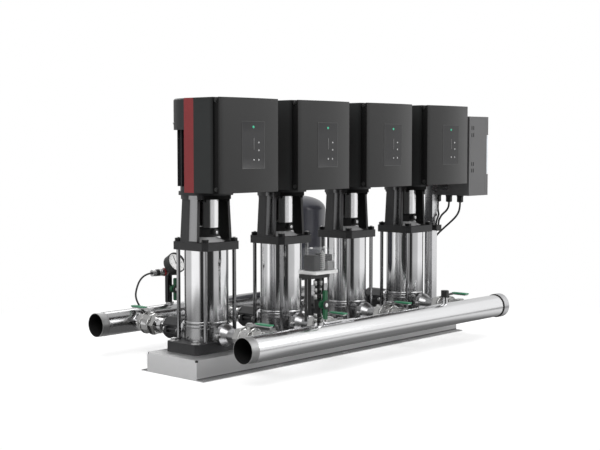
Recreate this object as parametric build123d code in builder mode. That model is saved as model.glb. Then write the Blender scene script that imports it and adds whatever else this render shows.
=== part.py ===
from build123d import *
from math import radians, tan
import os

os.makedirs("parts", exist_ok=True)

# Booster set of four vertical multistage pumps, in millimetres.
# X runs along the row, Y towards the discharge side, Z up.
# The origin is the middle of the base frame's underside.

# Row of pumps
pump_count = 4
pump_pitch = 325.0
pump_y = 12.5

# Fits
seat_gap = 0.3
running_gap = 0.06

# Base frame, a folded tray that is open underneath
frame_width = 218.0
frame_height = 59.5
frame_wall = 3.0
lip_width = 28.0
anchor_inset_x = 15.0
anchor_inset_y = 16.0
anchor_hole = 11.0
lip_slot_length = 30.0
relief_hole = 6.0

# Pump foot and base chamber
foot_length = 208.6
foot_width = 136.2
foot_height = 31.4
foot_chamfer = 8.0
foot_bolt_spacing_x = 176.0
foot_bolt_spacing_y = 96.0
foot_bolt_across = 18.0
foot_bolt_head = 9.0
port_rise = 52.0
chamber_radius = 68.0
chamber_height = 49.3
port_neck_width = 60.0
port_neck_height = 44.0
port_reach = 74.5

# Sleeve, staybolts and head
sleeve_radius = 66.5
sleeve_wall = 2.0
sleeve_length = 224.0
staybolt_radius = 6.0
staybolt_sides = 8
staybolt_spacing = 118.4
staybolt_nut_across = 19.0
staybolt_nut_height = 10.0
head_side = 151.8
head_height = 23.8
head_chamfer = 14.0

# Motor stool and what it holds
stool_height = 150.5
stool_leg_outer_low = 75.5
stool_leg_outer_high = 69.0
stool_leg_width_low = 74.0
stool_leg_width_high = 69.0
stool_leg_depth = 14.0
stool_leg_ridge = 4.0
stool_flange_radius = 75.0
flange_height = 12.0
seal_cover_radius = 56.0
seal_cover_rise = 14.0
seal_cover_height = 42.0
seal_housing_radius = 30.0
seal_rib_reach = 46.0
seal_rib_height = 34.0
seal_rib_thickness = 8.0
guard_radius = 39.5
guard_wall = 1.5
guard_sweep = 120.0
vent_radius = 11.0
vent_length = 14.0
vent_height = 28.0
turned_sides = 12

# Shaft with coupling, motor rotor and fan
motor_shaft_radius = 14.0
coupling_radius = 30.0
coupling_sides = 8
coupling_start = 6.0
coupling_length = 69.0
core_radius = 48.0
core_length = 125.0
core_start = 48.0
core_end_gap = 6.0
core_sides = 12
fan_radius = 76.0
fan_height = 26.0
fan_start = 25.0

# Motor
motor_flange_radius = 82.0
motor_flange_height = 11.3
motor_neck_height = 15.0
stator_height = 167.0
stator_radius = 85.0
stator_root = 75.0
fin_count = 16
fin_thickness = 3.5
fin_sink = 3.0
shield_height = 8.0
stator_bore_gap = 0.5
fan_cover_radius = 95.0
fan_cover_height = 92.0
fan_cover_wall = 3.0
fan_cover_round = 4.0
terminal_width = 90.0
terminal_height = 110.0
terminal_reach = 77.0

# Drive box on the front of the motor
drive_width = 245.3
drive_height = 272.7
drive_shift = -1.75
drive_back = 83.4
spacer_depth = 40.8
housing_depth = 81.5
drive_wall = 6.0
groove_depth = 16.0
groove_inset = 5.0
panel_edge = 5.0
panel_depth = 12.5
panel_width = 238.0

# Branches between the pumps and the manifolds
clamp_radius = 33.5
clamp_width = 14.0
reducer_length = 20.0
port_ear_width = 92.0
port_ear_height = 20.0
port_ear_thickness = 9.0
branch_radius = 22.0
branch_length = 54.0
union_across = 56.0
union_width = 20.0
valve_radius = 33.0
valve_width = 44.0
valve_end_across = 50.0
valve_end_width = 20.0
valve_neck_radius = 12.0
valve_neck_top = 38.0
check_radius = 34.0
check_length = 74.0
check_ear_width = 92.0
check_ear_height = 20.0
check_ear_thickness = 9.0
check_rod_spacing = 78.0
check_rod_radius = 4.5
check_rod_length = 54.0
cone_length = 30.0
cone_radius = 36.0
outlet_length = 24.0
stub_radius = 24.0

# Lever of a ball valve
lever_nut_across = 17.0
lever_nut_height = 8.0
lever_width = 16.0
lever_reach = 86.0
lever_tail = 9.0
lever_thickness = 5.0
lever_rise = 4.0
lever_root = 22.0

# Manifolds
manifold_radius = 38.05
manifold_wall = 2.6
thread_radius = 37.6
thread_length = 28.0
suction_y = -302.2
suction_left = -644.0
discharge_y = 367.6
discharge_left = -632.0
manifold_right = 594.0
seal_ring_radius = 40.0
seal_ring_width = 4.0
cap_radius = 41.0
cap_width = 28.0
socket_radius = 14.0
socket_rise = 6.0

# Plugged socket on the suction manifold
plug_x = 298.0
plug_stem_radius = 9.0
plug_bottom = 170.0
plug_radius = 13.0
plug_height = 23.0

# Diaphragm tank on the discharge manifold
tank_x = 275.0
tank_radius = 120.0
tank_bottom = 178.0
tank_height = 313.0
tank_dome = 50.0
tank_crown = 18.0
tank_foot_radius = 40.0

# Gauge and transmitter on the discharge manifold
transmitter_x = -325.0
transmitter_z = 257.0
transmitter_hex = 24.0
transmitter_hex_width = 16.0
transmitter_radius = 11.0
transmitter_length = 48.5
stand_pipe_radius = 8.0
block_side = 24.0
block_bottom = 245.0
block_height = 24.0
gauge_strip_width = 14.0
gauge_strip_sink = 0.5
gauge_strip_thickness = 3.0
gauge_y = 330.0
gauge_z = 291.0
gauge_stem_radius = 6.0
gauge_stem_length = 17.0
gauge_radius = 35.0
gauge_depth = 28.0
gauge_wall = 3.0
gauge_slope = 0.577
gauge_recess = 8.0
gauge_glass_depth = 1.5
gauge_glass_thickness = 1.5
pointer_hub_radius = 3.0
pointer_length = 24.0
pointer_width = 2.0
pointer_thickness = 1.0
gauge_tap_z = 200.0
gauge_tap_bar = 74.0
tap_body = 24.0
tap_hub_radius = 10.0
tap_hub_length = 12.0
tap_bar_width = 13.0
tap_bar_thickness = 8.0

# Pressure switch on the suction manifold
switch_x = -335.0
switch_post_radius = 10.0
switch_plate_z = 302.0
switch_plate_length = 95.0
switch_plate_width = 70.0
switch_plate_thickness = 9.0
switch_rest_width = 46.0
switch_rest_thickness = 12.0
switch_rod_radius = 4.0
switch_rod_length = 125.0
switch_rod_left = -388.0
switch_rod_right = -314.0
strip_x = -372.0
strip_width = 12.0
strip_thickness = 3.0
strip_length = 108.0
switch_cover_height = 65.0
switch_cover_wall = 2.0
switch_cover_slope = 7.0
switch_tap_z = 211.0
switch_tap_bar = 86.0
works_spacing = 26.0
works_width = 26.0
works_depth = 40.0
works_height = 45.0
works_spring_radius = 9.0
works_spring_height = 50.0

# Cabinet and its post
post_gap = 1.6
post_depth = 30.0
post_width = 34.0
post_wall = 2.5
post_y = -2.0
post_top = 700.0
bracket_thickness = 5.0
bracket_width = 120.0
bracket_height = 190.0
cabinet_depth = 100.0
cabinet_width = 310.0
cabinet_bottom = 491.5
cabinet_height = 286.0
cabinet_wall = 2.0
door_thickness = 20.0
display_recess = 9.0
display_bottom = 569.0
display_height = 142.0
display_margin = 60.0
gland_x = 675.0
gland_places = [3.0, -46.5, -96.0]
gland_across = 20.0
gland_length = 25.0
clip_z = 362.0
clip_height = 20.0
clip_length = 28.0
clip_depth = 18.0
cable_sides = 6

# Heights worked out from the sizes above
foot_top = frame_height + foot_height
port_height = frame_height + port_rise
chamber_top = foot_top + chamber_height
head_bottom = chamber_top + sleeve_length
head_top = head_bottom + head_height
stool_top = head_top + stool_height - flange_height - motor_flange_height
motor_bottom = stool_top + flange_height
neck_bottom = motor_bottom + motor_flange_height
stator_bottom = neck_bottom + motor_neck_height
stator_top = stator_bottom + stator_height
motor_top = stator_top + fan_cover_height
seal_top = head_top + seal_cover_height
drive_bottom = neck_bottom
drive_front = drive_back + housing_depth

socket_top = port_height + manifold_radius + socket_rise
pump_x = [(number - (pump_count - 1) / 2) * pump_pitch for number in range(pump_count)]
pump_axes = [(x, pump_y) for x in pump_x]
pump_spots = [(x, pump_y, 0) for x in pump_x]
upright = (Align.CENTER, Align.CENTER, Align.MIN)

# The post stands beside the last drive box, and the frame reaches as far on both sides
post_left = pump_x[-1] + drive_shift + drive_width / 2 + post_gap
post_right = post_left + post_depth
frame_length = 2 * post_right

# Base frame
anchor_spacing_x = frame_length - 2 * anchor_inset_x
anchor_spacing_y = frame_width + 2 * anchor_inset_y
lip_slot_pitch = anchor_spacing_x / 4
tray_inner_length = frame_length - 2 * frame_wall
tray_inner_width = frame_width - 2 * frame_wall
lip_middle = (frame_width + lip_width) / 2
lip_slots = [(0, -anchor_spacing_y / 2), (-lip_slot_pitch, -anchor_spacing_y / 2), (lip_slot_pitch, -anchor_spacing_y / 2)]
with BuildPart() as base_frame:
    with BuildSketch(Plane.XY):
        Rectangle(frame_length, frame_width)
    extrude(amount=frame_height)
    with BuildSketch(Plane.XY):
        Rectangle(tray_inner_length, tray_inner_width)
    extrude(amount=frame_height - frame_wall, mode=Mode.SUBTRACT)
    with BuildSketch(Plane.XY):
        with Locations((0, lip_middle), (0, -lip_middle)):
            Rectangle(frame_length, lip_width)
    extrude(amount=frame_wall)
    with BuildSketch(Plane.XY):
        with GridLocations(anchor_spacing_x, anchor_spacing_y, 2, 2):
            Circle(anchor_hole / 2)
        with Locations(*lip_slots):
            Rectangle(lip_slot_length, anchor_hole)
    extrude(amount=frame_wall, mode=Mode.SUBTRACT)
    with BuildSketch(Plane.XY.offset(frame_height)):
        with GridLocations(frame_length, frame_width, 2, 2):
            RegularPolygon(relief_hole / 2, 8)
    extrude(amount=-relief_hole, mode=Mode.SUBTRACT)
base_frame.part.label = "base_frame"
export_step(base_frame.part, "parts/base_frame.step")

# Pump feet
with BuildPart() as pump_feet:
    with BuildSketch(Plane.XY.offset(frame_height)) as foot_outline:
        with Locations(*pump_axes):
            Rectangle(foot_length, foot_width)
        chamfer(foot_outline.vertices(), foot_chamfer)
    extrude(amount=foot_height)
pump_feet.part.label = "pump_feet"
export_step(pump_feet.part, "parts/pump_feet.step")

# Hexagon heads that hold the feet down
with BuildPart() as foot_bolts:
    with BuildSketch(Plane.XY.offset(foot_top)):
        with Locations(*pump_axes):
            with GridLocations(foot_bolt_spacing_x, foot_bolt_spacing_y, 2, 2):
                RegularPolygon(foot_bolt_across / 2, 6, major_radius=False)
    extrude(amount=foot_bolt_head)
foot_bolts.part.label = "foot_bolts"
export_step(foot_bolts.part, "parts/foot_bolts.step")

# Base chambers with a port neck at the front and at the back
with BuildPart() as pump_bases:
    with BuildSketch(Plane.XY.offset(foot_top)):
        with Locations(*pump_axes):
            Circle(chamber_radius)
    extrude(amount=chamber_height)
    with BuildSketch(Plane.XZ.offset(port_reach - pump_y)):
        with Locations(*[(x, foot_top + port_neck_height / 2) for x in pump_x]):
            Rectangle(port_neck_width, port_neck_height)
    extrude(amount=-2 * port_reach)
pump_bases.part.label = "pump_bases"
export_step(pump_bases.part, "parts/pump_bases.step")

# Polished sleeves
with BuildPart() as pump_sleeves:
    with BuildSketch(Plane.XY.offset(chamber_top)):
        with Locations(*pump_axes):
            Circle(sleeve_radius)
    extrude(amount=sleeve_length)
pump_sleeves.part.label = "pump_sleeves"
export_step(pump_sleeves.part, "parts/pump_sleeves.step")

# Staybolts from the foot to the head, with nuts on the head
with BuildPart() as staybolts:
    with BuildSketch(Plane.XY.offset(foot_top)):
        with Locations(*pump_axes):
            with GridLocations(staybolt_spacing, staybolt_spacing, 2, 2):
                RegularPolygon(staybolt_radius, staybolt_sides)
    extrude(amount=head_bottom - foot_top)
staybolts.part.label = "staybolts"
export_step(staybolts.part, "parts/staybolts.step")
with BuildPart() as staybolt_nuts:
    with BuildSketch(Plane.XY.offset(head_top)):
        with Locations(*pump_axes):
            with GridLocations(staybolt_spacing, staybolt_spacing, 2, 2):
                RegularPolygon(staybolt_nut_across / 2, 6, major_radius=False)
    extrude(amount=staybolt_nut_height)
staybolt_nuts.part.label = "staybolt_nuts"
export_step(staybolt_nuts.part, "parts/staybolt_nuts.step")

# Motor stool: the pump head with two legs and the flange under the motor
flange_bore = coupling_radius + 4
with BuildPart() as one_stool:
    with BuildSketch(Plane.XY.offset(head_bottom)) as head_outline:
        Rectangle(head_side, head_side)
        chamfer(head_outline.vertices(), head_chamfer)
    extrude(amount=head_height)
    for side in (-1, 1):
        for height, outer, width in (
            (head_top, stool_leg_outer_low, stool_leg_width_low),
            (stool_top, stool_leg_outer_high, stool_leg_width_high),
        ):
            with BuildSketch(Plane.XY.offset(height)):
                with BuildLine():
                    Polyline(
                        (side * (outer - stool_leg_depth), -width / 2),
                        (side * (outer - stool_leg_ridge), -width / 2),
                        (side * outer, 0),
                        (side * (outer - stool_leg_ridge), width / 2),
                        (side * (outer - stool_leg_depth), width / 2),
                        close=True,
                    )
                make_face()
        loft(ruled=True)
    with BuildSketch(Plane.XY.offset(stool_top)):
        Circle(stool_flange_radius)
        RegularPolygon(flange_bore, coupling_sides, major_radius=False, mode=Mode.SUBTRACT)
    extrude(amount=flange_height)
with BuildPart() as motor_stools:
    with Locations(*pump_spots):
        add(one_stool.part)
motor_stools.part.label = "motor_stools"
export_step(motor_stools.part, "parts/motor_stools.step")

# Covers over the shaft seals: a low dome, the seal housing with flats, and a rib
flat_turn = 180 / coupling_sides
with BuildPart() as one_seal_cover:
    with BuildSketch(Plane.XZ):
        with BuildLine():
            Polyline(
                (0, head_top),
                (seal_cover_radius, head_top),
                (seal_housing_radius, head_top + seal_cover_rise),
                (0, head_top + seal_cover_rise),
                close=True,
            )
        make_face()
    revolve(axis=Axis.Z)
    with BuildSketch(Plane.XY.offset(head_top)):
        RegularPolygon(seal_housing_radius, coupling_sides, major_radius=False, rotation=flat_turn)
    extrude(amount=seal_cover_height)
    with BuildSketch(Plane.XZ.offset(seal_rib_thickness)):
        with BuildLine():
            Polyline(
                (0, head_top + seal_rib_height),
                (seal_housing_radius, head_top + seal_rib_height),
                (seal_rib_reach, head_top + seal_cover_rise / 2),
                (0, head_top + seal_cover_rise / 2),
                close=True,
            )
        make_face()
    extrude(amount=seal_rib_thickness)
with BuildPart() as seal_covers:
    with Locations(*pump_spots):
        add(one_seal_cover.part)
seal_covers.part.label = "seal_covers"
export_step(seal_covers.part, "parts/seal_covers.step")

# Vent plugs that face forward
with BuildPart() as vent_plugs:
    with BuildSketch(Plane.XZ.offset(seal_housing_radius - pump_y)):
        with Locations(*[(x, head_top + vent_height) for x in pump_x]):
            RegularPolygon(vent_radius, turned_sides)
    extrude(amount=vent_length)
vent_plugs.part.label = "vent_plugs"
export_step(vent_plugs.part, "parts/vent_plugs.step")

# Guards in front of and behind the coupling
guard_height = stool_top - seal_top
with BuildPart() as one_guard:
    with BuildSketch(Plane.XZ):
        with Locations((guard_radius - guard_wall / 2, seal_top + guard_height / 2)):
            Rectangle(guard_wall, guard_height)
    revolve(axis=Axis.Z, revolution_arc=guard_sweep)
guard_turns = [90 - guard_sweep / 2, 270 - guard_sweep / 2]
with BuildPart() as coupling_guards:
    with Locations(*[Location(spot, (0, 0, turn)) for spot in pump_spots for turn in guard_turns]):
        add(one_guard.part)
coupling_guards.part.label = "coupling_guards"
export_step(coupling_guards.part, "parts/coupling_guards.step")

# Rotors: pump shaft, coupling, motor shaft, rotor core and fan
coupling_bottom = seal_top + coupling_start
core_bottom = motor_bottom + core_start
shield_top = stator_top + shield_height
fan_bottom = stator_top + fan_start
with BuildPart() as one_rotor:
    with BuildSketch(Plane.XY.offset(seal_top + seat_gap)):
        Circle(motor_shaft_radius)
    extrude(amount=fan_bottom - seal_top)
    for bottom, length, radius, sides in (
        (coupling_bottom, coupling_length, coupling_radius, coupling_sides),
        (core_bottom, core_length, core_radius, core_sides),
        (fan_bottom, fan_height, fan_radius, core_sides),
    ):
        with BuildSketch(Plane.XY.offset(bottom)):
            RegularPolygon(radius, sides)
        extrude(amount=length)
for number, spot in enumerate(pump_spots, start=1):
    with BuildPart() as rotor:
        with Locations(spot):
            add(one_rotor.part)
    rotor.part.label = f"rotor_{number}"
    export_step(rotor.part, f"parts/rotor_{number}.step")

# Motor housings with cooling fins, bearing seats and the bore for the rotor core
stator_bore = core_radius + stator_bore_gap
bearing_bore = motor_shaft_radius + running_gap
with BuildPart() as one_stator:
    with BuildSketch(Plane.XY.offset(motor_bottom)):
        Circle(motor_flange_radius)
    extrude(amount=motor_flange_height)
    with BuildSketch(Plane.XY.offset(neck_bottom)):
        RegularPolygon(stator_root, fin_count, major_radius=False)
    extrude(amount=stator_top - neck_bottom)
    with BuildSketch(Plane.XY.offset(stator_top)):
        RegularPolygon(fan_cover_radius, 2 * core_sides)
    extrude(amount=shield_height)
    fin_middle = (stator_root - fin_sink + stator_radius) / 2
    with BuildSketch(Plane.XY.offset(stator_bottom)):
        with PolarLocations(fin_middle, fin_count, start_angle=180 / fin_count):
            Rectangle(stator_radius - stator_root + fin_sink, fin_thickness)
    extrude(amount=stator_height)
    with BuildSketch(Plane.XZ.offset(stator_root - fin_sink)):
        with Locations((0, stator_bottom + stator_height / 2)):
            Rectangle(terminal_width, terminal_height)
    extrude(amount=terminal_reach - stator_root + fin_sink)
    with BuildSketch(Plane.XY.offset(core_bottom - core_end_gap)):
        RegularPolygon(stator_bore, core_sides, major_radius=False)
    extrude(amount=core_length + 2 * core_end_gap, mode=Mode.SUBTRACT)
    with BuildSketch(Plane.XY.offset(motor_bottom)):
        Circle(bearing_bore)
    extrude(amount=shield_top - motor_bottom, mode=Mode.SUBTRACT)
with BuildPart() as motor_stators:
    with Locations(*pump_spots):
        add(one_stator.part)
motor_stators.part.label = "motor_stators"
export_step(motor_stators.part, "parts/motor_stators.step")

# Fan covers
with BuildPart() as one_fan_cover:
    with BuildSketch(Plane.XY.offset(shield_top)):
        Circle(fan_cover_radius)
    extrude(amount=fan_cover_height - shield_height)
    chamfer(one_fan_cover.edges().sort_by(Axis.Z)[-1], fan_cover_round)
    with BuildSketch(Plane.XY.offset(shield_top)):
        RegularPolygon(fan_cover_radius - fan_cover_wall, fin_count)
    extrude(amount=fan_cover_height - shield_height - fan_cover_round, mode=Mode.SUBTRACT)
with BuildPart() as fan_covers:
    with Locations(*pump_spots):
        add(one_fan_cover.part)
fan_covers.part.label = "fan_covers"
export_step(fan_covers.part, "parts/fan_covers.step")

# Spacers that hold the drive boxes against the motors
spacer_cut = fan_cover_radius + seat_gap
pocket_floor = spacer_cut + drive_wall
drive_middle = (drive_shift, drive_bottom + drive_height / 2)
with BuildPart() as one_spacer:
    with BuildSketch(Plane.XZ.offset(drive_back - spacer_depth)):
        with Locations(drive_middle):
            Rectangle(drive_width, drive_height)
    extrude(amount=spacer_depth)
    with BuildSketch(Plane.XY.offset(drive_bottom)):
        Circle(spacer_cut)
    extrude(amount=drive_height, mode=Mode.SUBTRACT)
with BuildPart() as drive_spacers:
    with Locations(*pump_spots):
        add(one_spacer.part)
drive_spacers.part.label = "drive_spacers"
export_step(drive_spacers.part, "parts/drive_spacers.step")

# Drive housings, open at the front
with BuildPart() as one_housing:
    with BuildSketch(Plane.XZ.offset(drive_back)) as housing_outline:
        with Locations(drive_middle):
            Rectangle(drive_width, drive_height)
    extrude(amount=housing_depth)
    with BuildSketch(Plane.XY.offset(drive_bottom)):
        Circle(spacer_cut)
    extrude(amount=drive_height, mode=Mode.SUBTRACT)
    with BuildSketch(Plane.XZ.offset(pocket_floor)):
        with Locations(drive_middle):
            Rectangle(drive_width - 2 * drive_wall, drive_height - 2 * drive_wall)
    extrude(amount=drive_front - pocket_floor, mode=Mode.SUBTRACT)
with BuildPart() as drive_housings:
    with Locations(*pump_spots):
        add(one_housing.part)
drive_housings.part.label = "drive_housings"
export_step(drive_housings.part, "parts/drive_housings.step")

# Drive covers: an inset band, then the bowed front panel
band_width = drive_width - 2 * groove_inset
band_height = drive_height - 2 * groove_inset
panel_back = drive_front + groove_depth
panel_left = drive_shift - drive_width / 2 + panel_edge
panel_right = panel_left + panel_width
with BuildPart() as one_cover:
    with BuildSketch(Plane.XZ.offset(drive_front)):
        with Locations(drive_middle):
            Rectangle(band_width, band_height)
    extrude(amount=groove_depth)
    with BuildSketch(Plane.XY.offset(drive_bottom)):
        with BuildLine():
            Polyline(
                (panel_left, -panel_back - panel_edge),
                (panel_left, -panel_back),
                (panel_right, -panel_back),
                (panel_right, -panel_back - panel_edge),
            )
            ThreePointArc(
                (panel_right, -panel_back - panel_edge),
                ((panel_left + panel_right) / 2, -panel_back - panel_depth),
                (panel_left, -panel_back - panel_edge),
            )
        make_face()
    extrude(amount=drive_height)
    with BuildSketch(Plane.XZ.offset(drive_front)):
        with Locations(drive_middle):
            Rectangle(band_width - 2 * drive_wall, band_height - 2 * drive_wall)
    extrude(amount=groove_depth, mode=Mode.SUBTRACT)
with BuildPart() as drive_covers:
    with Locations(*pump_spots):
        add(one_cover.part)
drive_covers.part.label = "drive_covers"
export_step(drive_covers.part, "parts/drive_covers.step")

# Ends of the stretches along the branches, measured along Y
suction_port = pump_y - port_reach
suction_pipe_end = suction_port - clamp_width - branch_length
suction_valve = suction_pipe_end - union_width
suction_valve_end = suction_valve - valve_width - valve_end_width
suction_stub_end = suction_valve_end - union_width
discharge_port = pump_y + port_reach
check_start = discharge_port + clamp_width
cone_start = check_start + check_length
outlet_start = cone_start + cone_length
discharge_union = outlet_start + outlet_length
discharge_valve = discharge_union + union_width
discharge_valve_end = discharge_valve + valve_width
discharge_stub_end = discharge_valve_end + valve_end_width
branch_spots = [(x, 0, port_height) for x in pump_x]

# Clamp rings and pipes on the suction ports, and clamp rings on the discharge ports
with BuildPart() as one_port_pipe:
    with BuildSketch(Plane.XY):
        with BuildLine():
            Polyline(
                (0, suction_port),
                (clamp_radius, suction_port),
                (clamp_radius, suction_port - clamp_width),
                (branch_radius, suction_port - clamp_width - reducer_length),
                (branch_radius, suction_pipe_end),
                (0, suction_pipe_end),
                close=True,
            )
        make_face()
    revolve(axis=Axis.Y)
with BuildPart() as suction_pipes:
    with Locations(*branch_spots):
        add(one_port_pipe.part)
    with BuildSketch(Plane.XZ.offset(-suction_port)):
        with Locations(*[(x, port_height) for x in pump_x]):
            Rectangle(port_ear_width, port_ear_height)
    extrude(amount=port_ear_thickness)
suction_pipes.part.label = "suction_pipes"
export_step(suction_pipes.part, "parts/suction_pipes.step")
with BuildPart() as discharge_clamps:
    with BuildSketch(Plane.XZ.offset(-discharge_port)):
        with Locations(*[(x, port_height) for x in pump_x]):
            RegularPolygon(clamp_radius, turned_sides)
    extrude(amount=-clamp_width)
discharge_clamps.part.label = "discharge_clamps"
export_step(discharge_clamps.part, "parts/discharge_clamps.step")

# Non-return valves and the cones behind them
with BuildPart() as check_valves:
    with BuildSketch(Plane.XZ.offset(-check_start)):
        with Locations(*[(x, port_height) for x in pump_x]):
            RegularPolygon(check_radius, 8, major_radius=False, rotation=flat_turn)
    extrude(amount=-check_length)
    for ear_start in (check_start, check_start + check_rod_length - check_ear_thickness):
        with BuildSketch(Plane.XZ.offset(-ear_start)):
            with Locations(*[(x, port_height) for x in pump_x]):
                Rectangle(check_ear_width, check_ear_height)
        extrude(amount=-check_ear_thickness)
    with BuildSketch(Plane.XZ.offset(-check_start)):
        for side in (-1, 1):
            with Locations(*[(x + side * check_rod_spacing / 2, port_height) for x in pump_x]):
                RegularPolygon(check_rod_radius, 6)
    extrude(amount=-check_rod_length)
check_valves.part.label = "check_valves"
export_step(check_valves.part, "parts/check_valves.step")
with BuildPart() as one_cone:
    with BuildSketch(Plane.XY):
        with BuildLine():
            Polyline(
                (0, cone_start),
                (cone_radius, cone_start),
                (branch_radius, outlet_start),
                (branch_radius, discharge_union),
                (0, discharge_union),
                close=True,
            )
        make_face()
    revolve(axis=Axis.Y)
with BuildPart() as discharge_cones:
    with Locations(*branch_spots):
        add(one_cone.part)
discharge_cones.part.label = "discharge_cones"
export_step(discharge_cones.part, "parts/discharge_cones.step")

# Union nuts on both sides of every ball valve
with BuildPart() as union_nuts:
    for front in (suction_pipe_end, suction_valve_end, discharge_valve):
        with BuildSketch(Plane.XZ.offset(-front)):
            with Locations(*[(x, port_height) for x in pump_x]):
                RegularPolygon(union_across / 2, 6, major_radius=False)
        extrude(amount=union_width)
union_nuts.part.label = "union_nuts"
export_step(union_nuts.part, "parts/union_nuts.step")

# Ball valve: barrel with flats, hexagon end and the neck for the stem
with BuildPart() as one_valve:
    with BuildSketch(Plane.XZ):
        RegularPolygon(valve_radius, turned_sides)
    extrude(amount=-valve_width)
    with BuildSketch(Plane.XZ.offset(-valve_width)):
        RegularPolygon(valve_end_across / 2, 6, major_radius=False)
    extrude(amount=-valve_end_width)
    with BuildSketch(Plane.XY):
        with Locations((0, valve_width / 2)):
            RegularPolygon(valve_neck_radius, 8)
    extrude(amount=valve_neck_top)
suction_valves = [Location((x, suction_valve, port_height), (0, 0, 180)) for x in pump_x]
discharge_valves = [Location((x, discharge_valve, port_height)) for x in pump_x]
with BuildPart() as valve_bodies:
    with Locations(*suction_valves, *discharge_valves):
        add(one_valve.part)
valve_bodies.part.label = "valve_bodies"
export_step(valve_bodies.part, "parts/valve_bodies.step")

# Levers of the ball valves, in line with the branch when open
lever_foot = valve_neck_top + seat_gap
lever_bottom = lever_foot + lever_nut_height
with BuildPart() as one_lever:
    with BuildSketch(Plane.XY.offset(lever_foot)):
        RegularPolygon(lever_nut_across / 2, 6, major_radius=False)
    extrude(amount=lever_nut_height)
    with BuildSketch(Plane.YZ):
        with BuildLine():
            Polyline(
                (-lever_tail, lever_foot + lever_thickness),
                (-lever_tail, lever_foot),
                (lever_root, lever_foot),
                (lever_root + lever_rise, lever_foot + lever_rise),
                (lever_reach, lever_foot + lever_rise),
                (lever_reach, lever_foot + lever_rise + lever_thickness),
                (lever_root, lever_foot + lever_rise + lever_thickness),
                (lever_root - lever_rise, lever_foot + lever_thickness),
                close=True,
            )
        make_face()
    extrude(amount=lever_width / 2, both=True)
for number, x in enumerate(pump_x, start=1):
    with BuildPart() as suction_lever:
        with Locations(Location((x, suction_valve - valve_width / 2, port_height), (0, 0, 180))):
            add(one_lever.part)
    suction_lever.part.label = f"suction_lever_{number}"
    export_step(suction_lever.part, f"parts/suction_lever_{number}.step")
    with BuildPart() as discharge_lever:
        with Locations((x, discharge_valve + valve_width / 2, port_height)):
            add(one_lever.part)
    discharge_lever.part.label = f"discharge_lever_{number}"
    export_step(discharge_lever.part, f"parts/discharge_lever_{number}.step")

# Manifolds with a stub for every pump
suction_length = manifold_right - suction_left
with BuildPart() as suction_manifold:
    with BuildSketch(Plane.YZ.offset(suction_left)):
        with Locations((suction_y, port_height)):
            Circle(manifold_radius)
    extrude(amount=suction_length)
    with BuildSketch(Plane.XZ.offset(-suction_y)):
        with Locations(*[(x, port_height) for x in pump_x]):
            Circle(stub_radius)
    extrude(amount=suction_y - suction_stub_end)
    with BuildSketch(Plane.XY.offset(port_height)):
        with Locations((switch_x, suction_y)):
            RegularPolygon(socket_radius, turned_sides)
    extrude(amount=socket_top - port_height)
    with BuildSketch(Plane.XY.offset(port_height)):
        with Locations((plug_x, suction_y)):
            RegularPolygon(plug_stem_radius, turned_sides)
    extrude(amount=plug_bottom - port_height)
    with BuildSketch(Plane.YZ.offset(suction_left)):
        with Locations((suction_y, port_height)):
            Circle(manifold_radius - manifold_wall)
    extrude(amount=suction_length, mode=Mode.SUBTRACT)
    with BuildSketch(Plane.YZ.offset(suction_left)):
        with Locations((suction_y, port_height)):
            Circle(cap_radius)
            Circle(thread_radius, mode=Mode.SUBTRACT)
    extrude(amount=thread_length, mode=Mode.SUBTRACT)
suction_manifold.part.label = "suction_manifold"
export_step(suction_manifold.part, "parts/suction_manifold.step")
discharge_length = manifold_right - discharge_left
with BuildPart() as discharge_manifold:
    with BuildSketch(Plane.YZ.offset(discharge_left)):
        with Locations((discharge_y, port_height)):
            Circle(manifold_radius)
    extrude(amount=discharge_length)
    with BuildSketch(Plane.XZ.offset(-discharge_y)):
        with Locations(*[(x, port_height) for x in pump_x]):
            Circle(stub_radius)
    extrude(amount=discharge_y - discharge_stub_end)
    with BuildSketch(Plane.XY.offset(port_height)):
        with Locations((transmitter_x, discharge_y)):
            RegularPolygon(socket_radius, turned_sides)
    extrude(amount=socket_top - port_height)
    with BuildSketch(Plane.XY.offset(port_height)):
        with Locations((tank_x, discharge_y)):
            RegularPolygon(socket_radius, turned_sides)
    extrude(amount=tank_bottom - port_height)
    with BuildSketch(Plane.YZ.offset(discharge_left)):
        with Locations((discharge_y, port_height)):
            Circle(manifold_radius - manifold_wall)
    extrude(amount=discharge_length, mode=Mode.SUBTRACT)
    with BuildSketch(Plane.YZ.offset(discharge_left)):
        with Locations((discharge_y, port_height)):
            Circle(cap_radius)
            Circle(thread_radius, mode=Mode.SUBTRACT)
    extrude(amount=thread_length, mode=Mode.SUBTRACT)
discharge_manifold.part.label = "discharge_manifold"
export_step(discharge_manifold.part, "parts/discharge_manifold.step")

# Seal rings and screw caps that close the right ends
manifold_ends = [(suction_y, port_height), (discharge_y, port_height)]
with BuildPart() as seal_rings:
    with BuildSketch(Plane.YZ.offset(manifold_right)):
        with Locations(*manifold_ends):
            RegularPolygon(seal_ring_radius, 2 * turned_sides)
    extrude(amount=seal_ring_width)
seal_rings.part.label = "seal_rings"
export_step(seal_rings.part, "parts/seal_rings.step")
with BuildPart() as end_caps:
    with BuildSketch(Plane.YZ.offset(manifold_right + seal_ring_width)):
        with Locations(*manifold_ends):
            Circle(cap_radius)
    extrude(amount=cap_width)
end_caps.part.label = "end_caps"
export_step(end_caps.part, "parts/end_caps.step")

# Cap on the plugged socket of the suction manifold
with BuildPart() as socket_plug:
    with BuildSketch(Plane.XY.offset(plug_bottom)):
        with Locations((plug_x, suction_y)):
            RegularPolygon(plug_radius, 6)
    extrude(amount=plug_height)
socket_plug.part.label = "socket_plug"
export_step(socket_plug.part, "parts/socket_plug.step")

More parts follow.
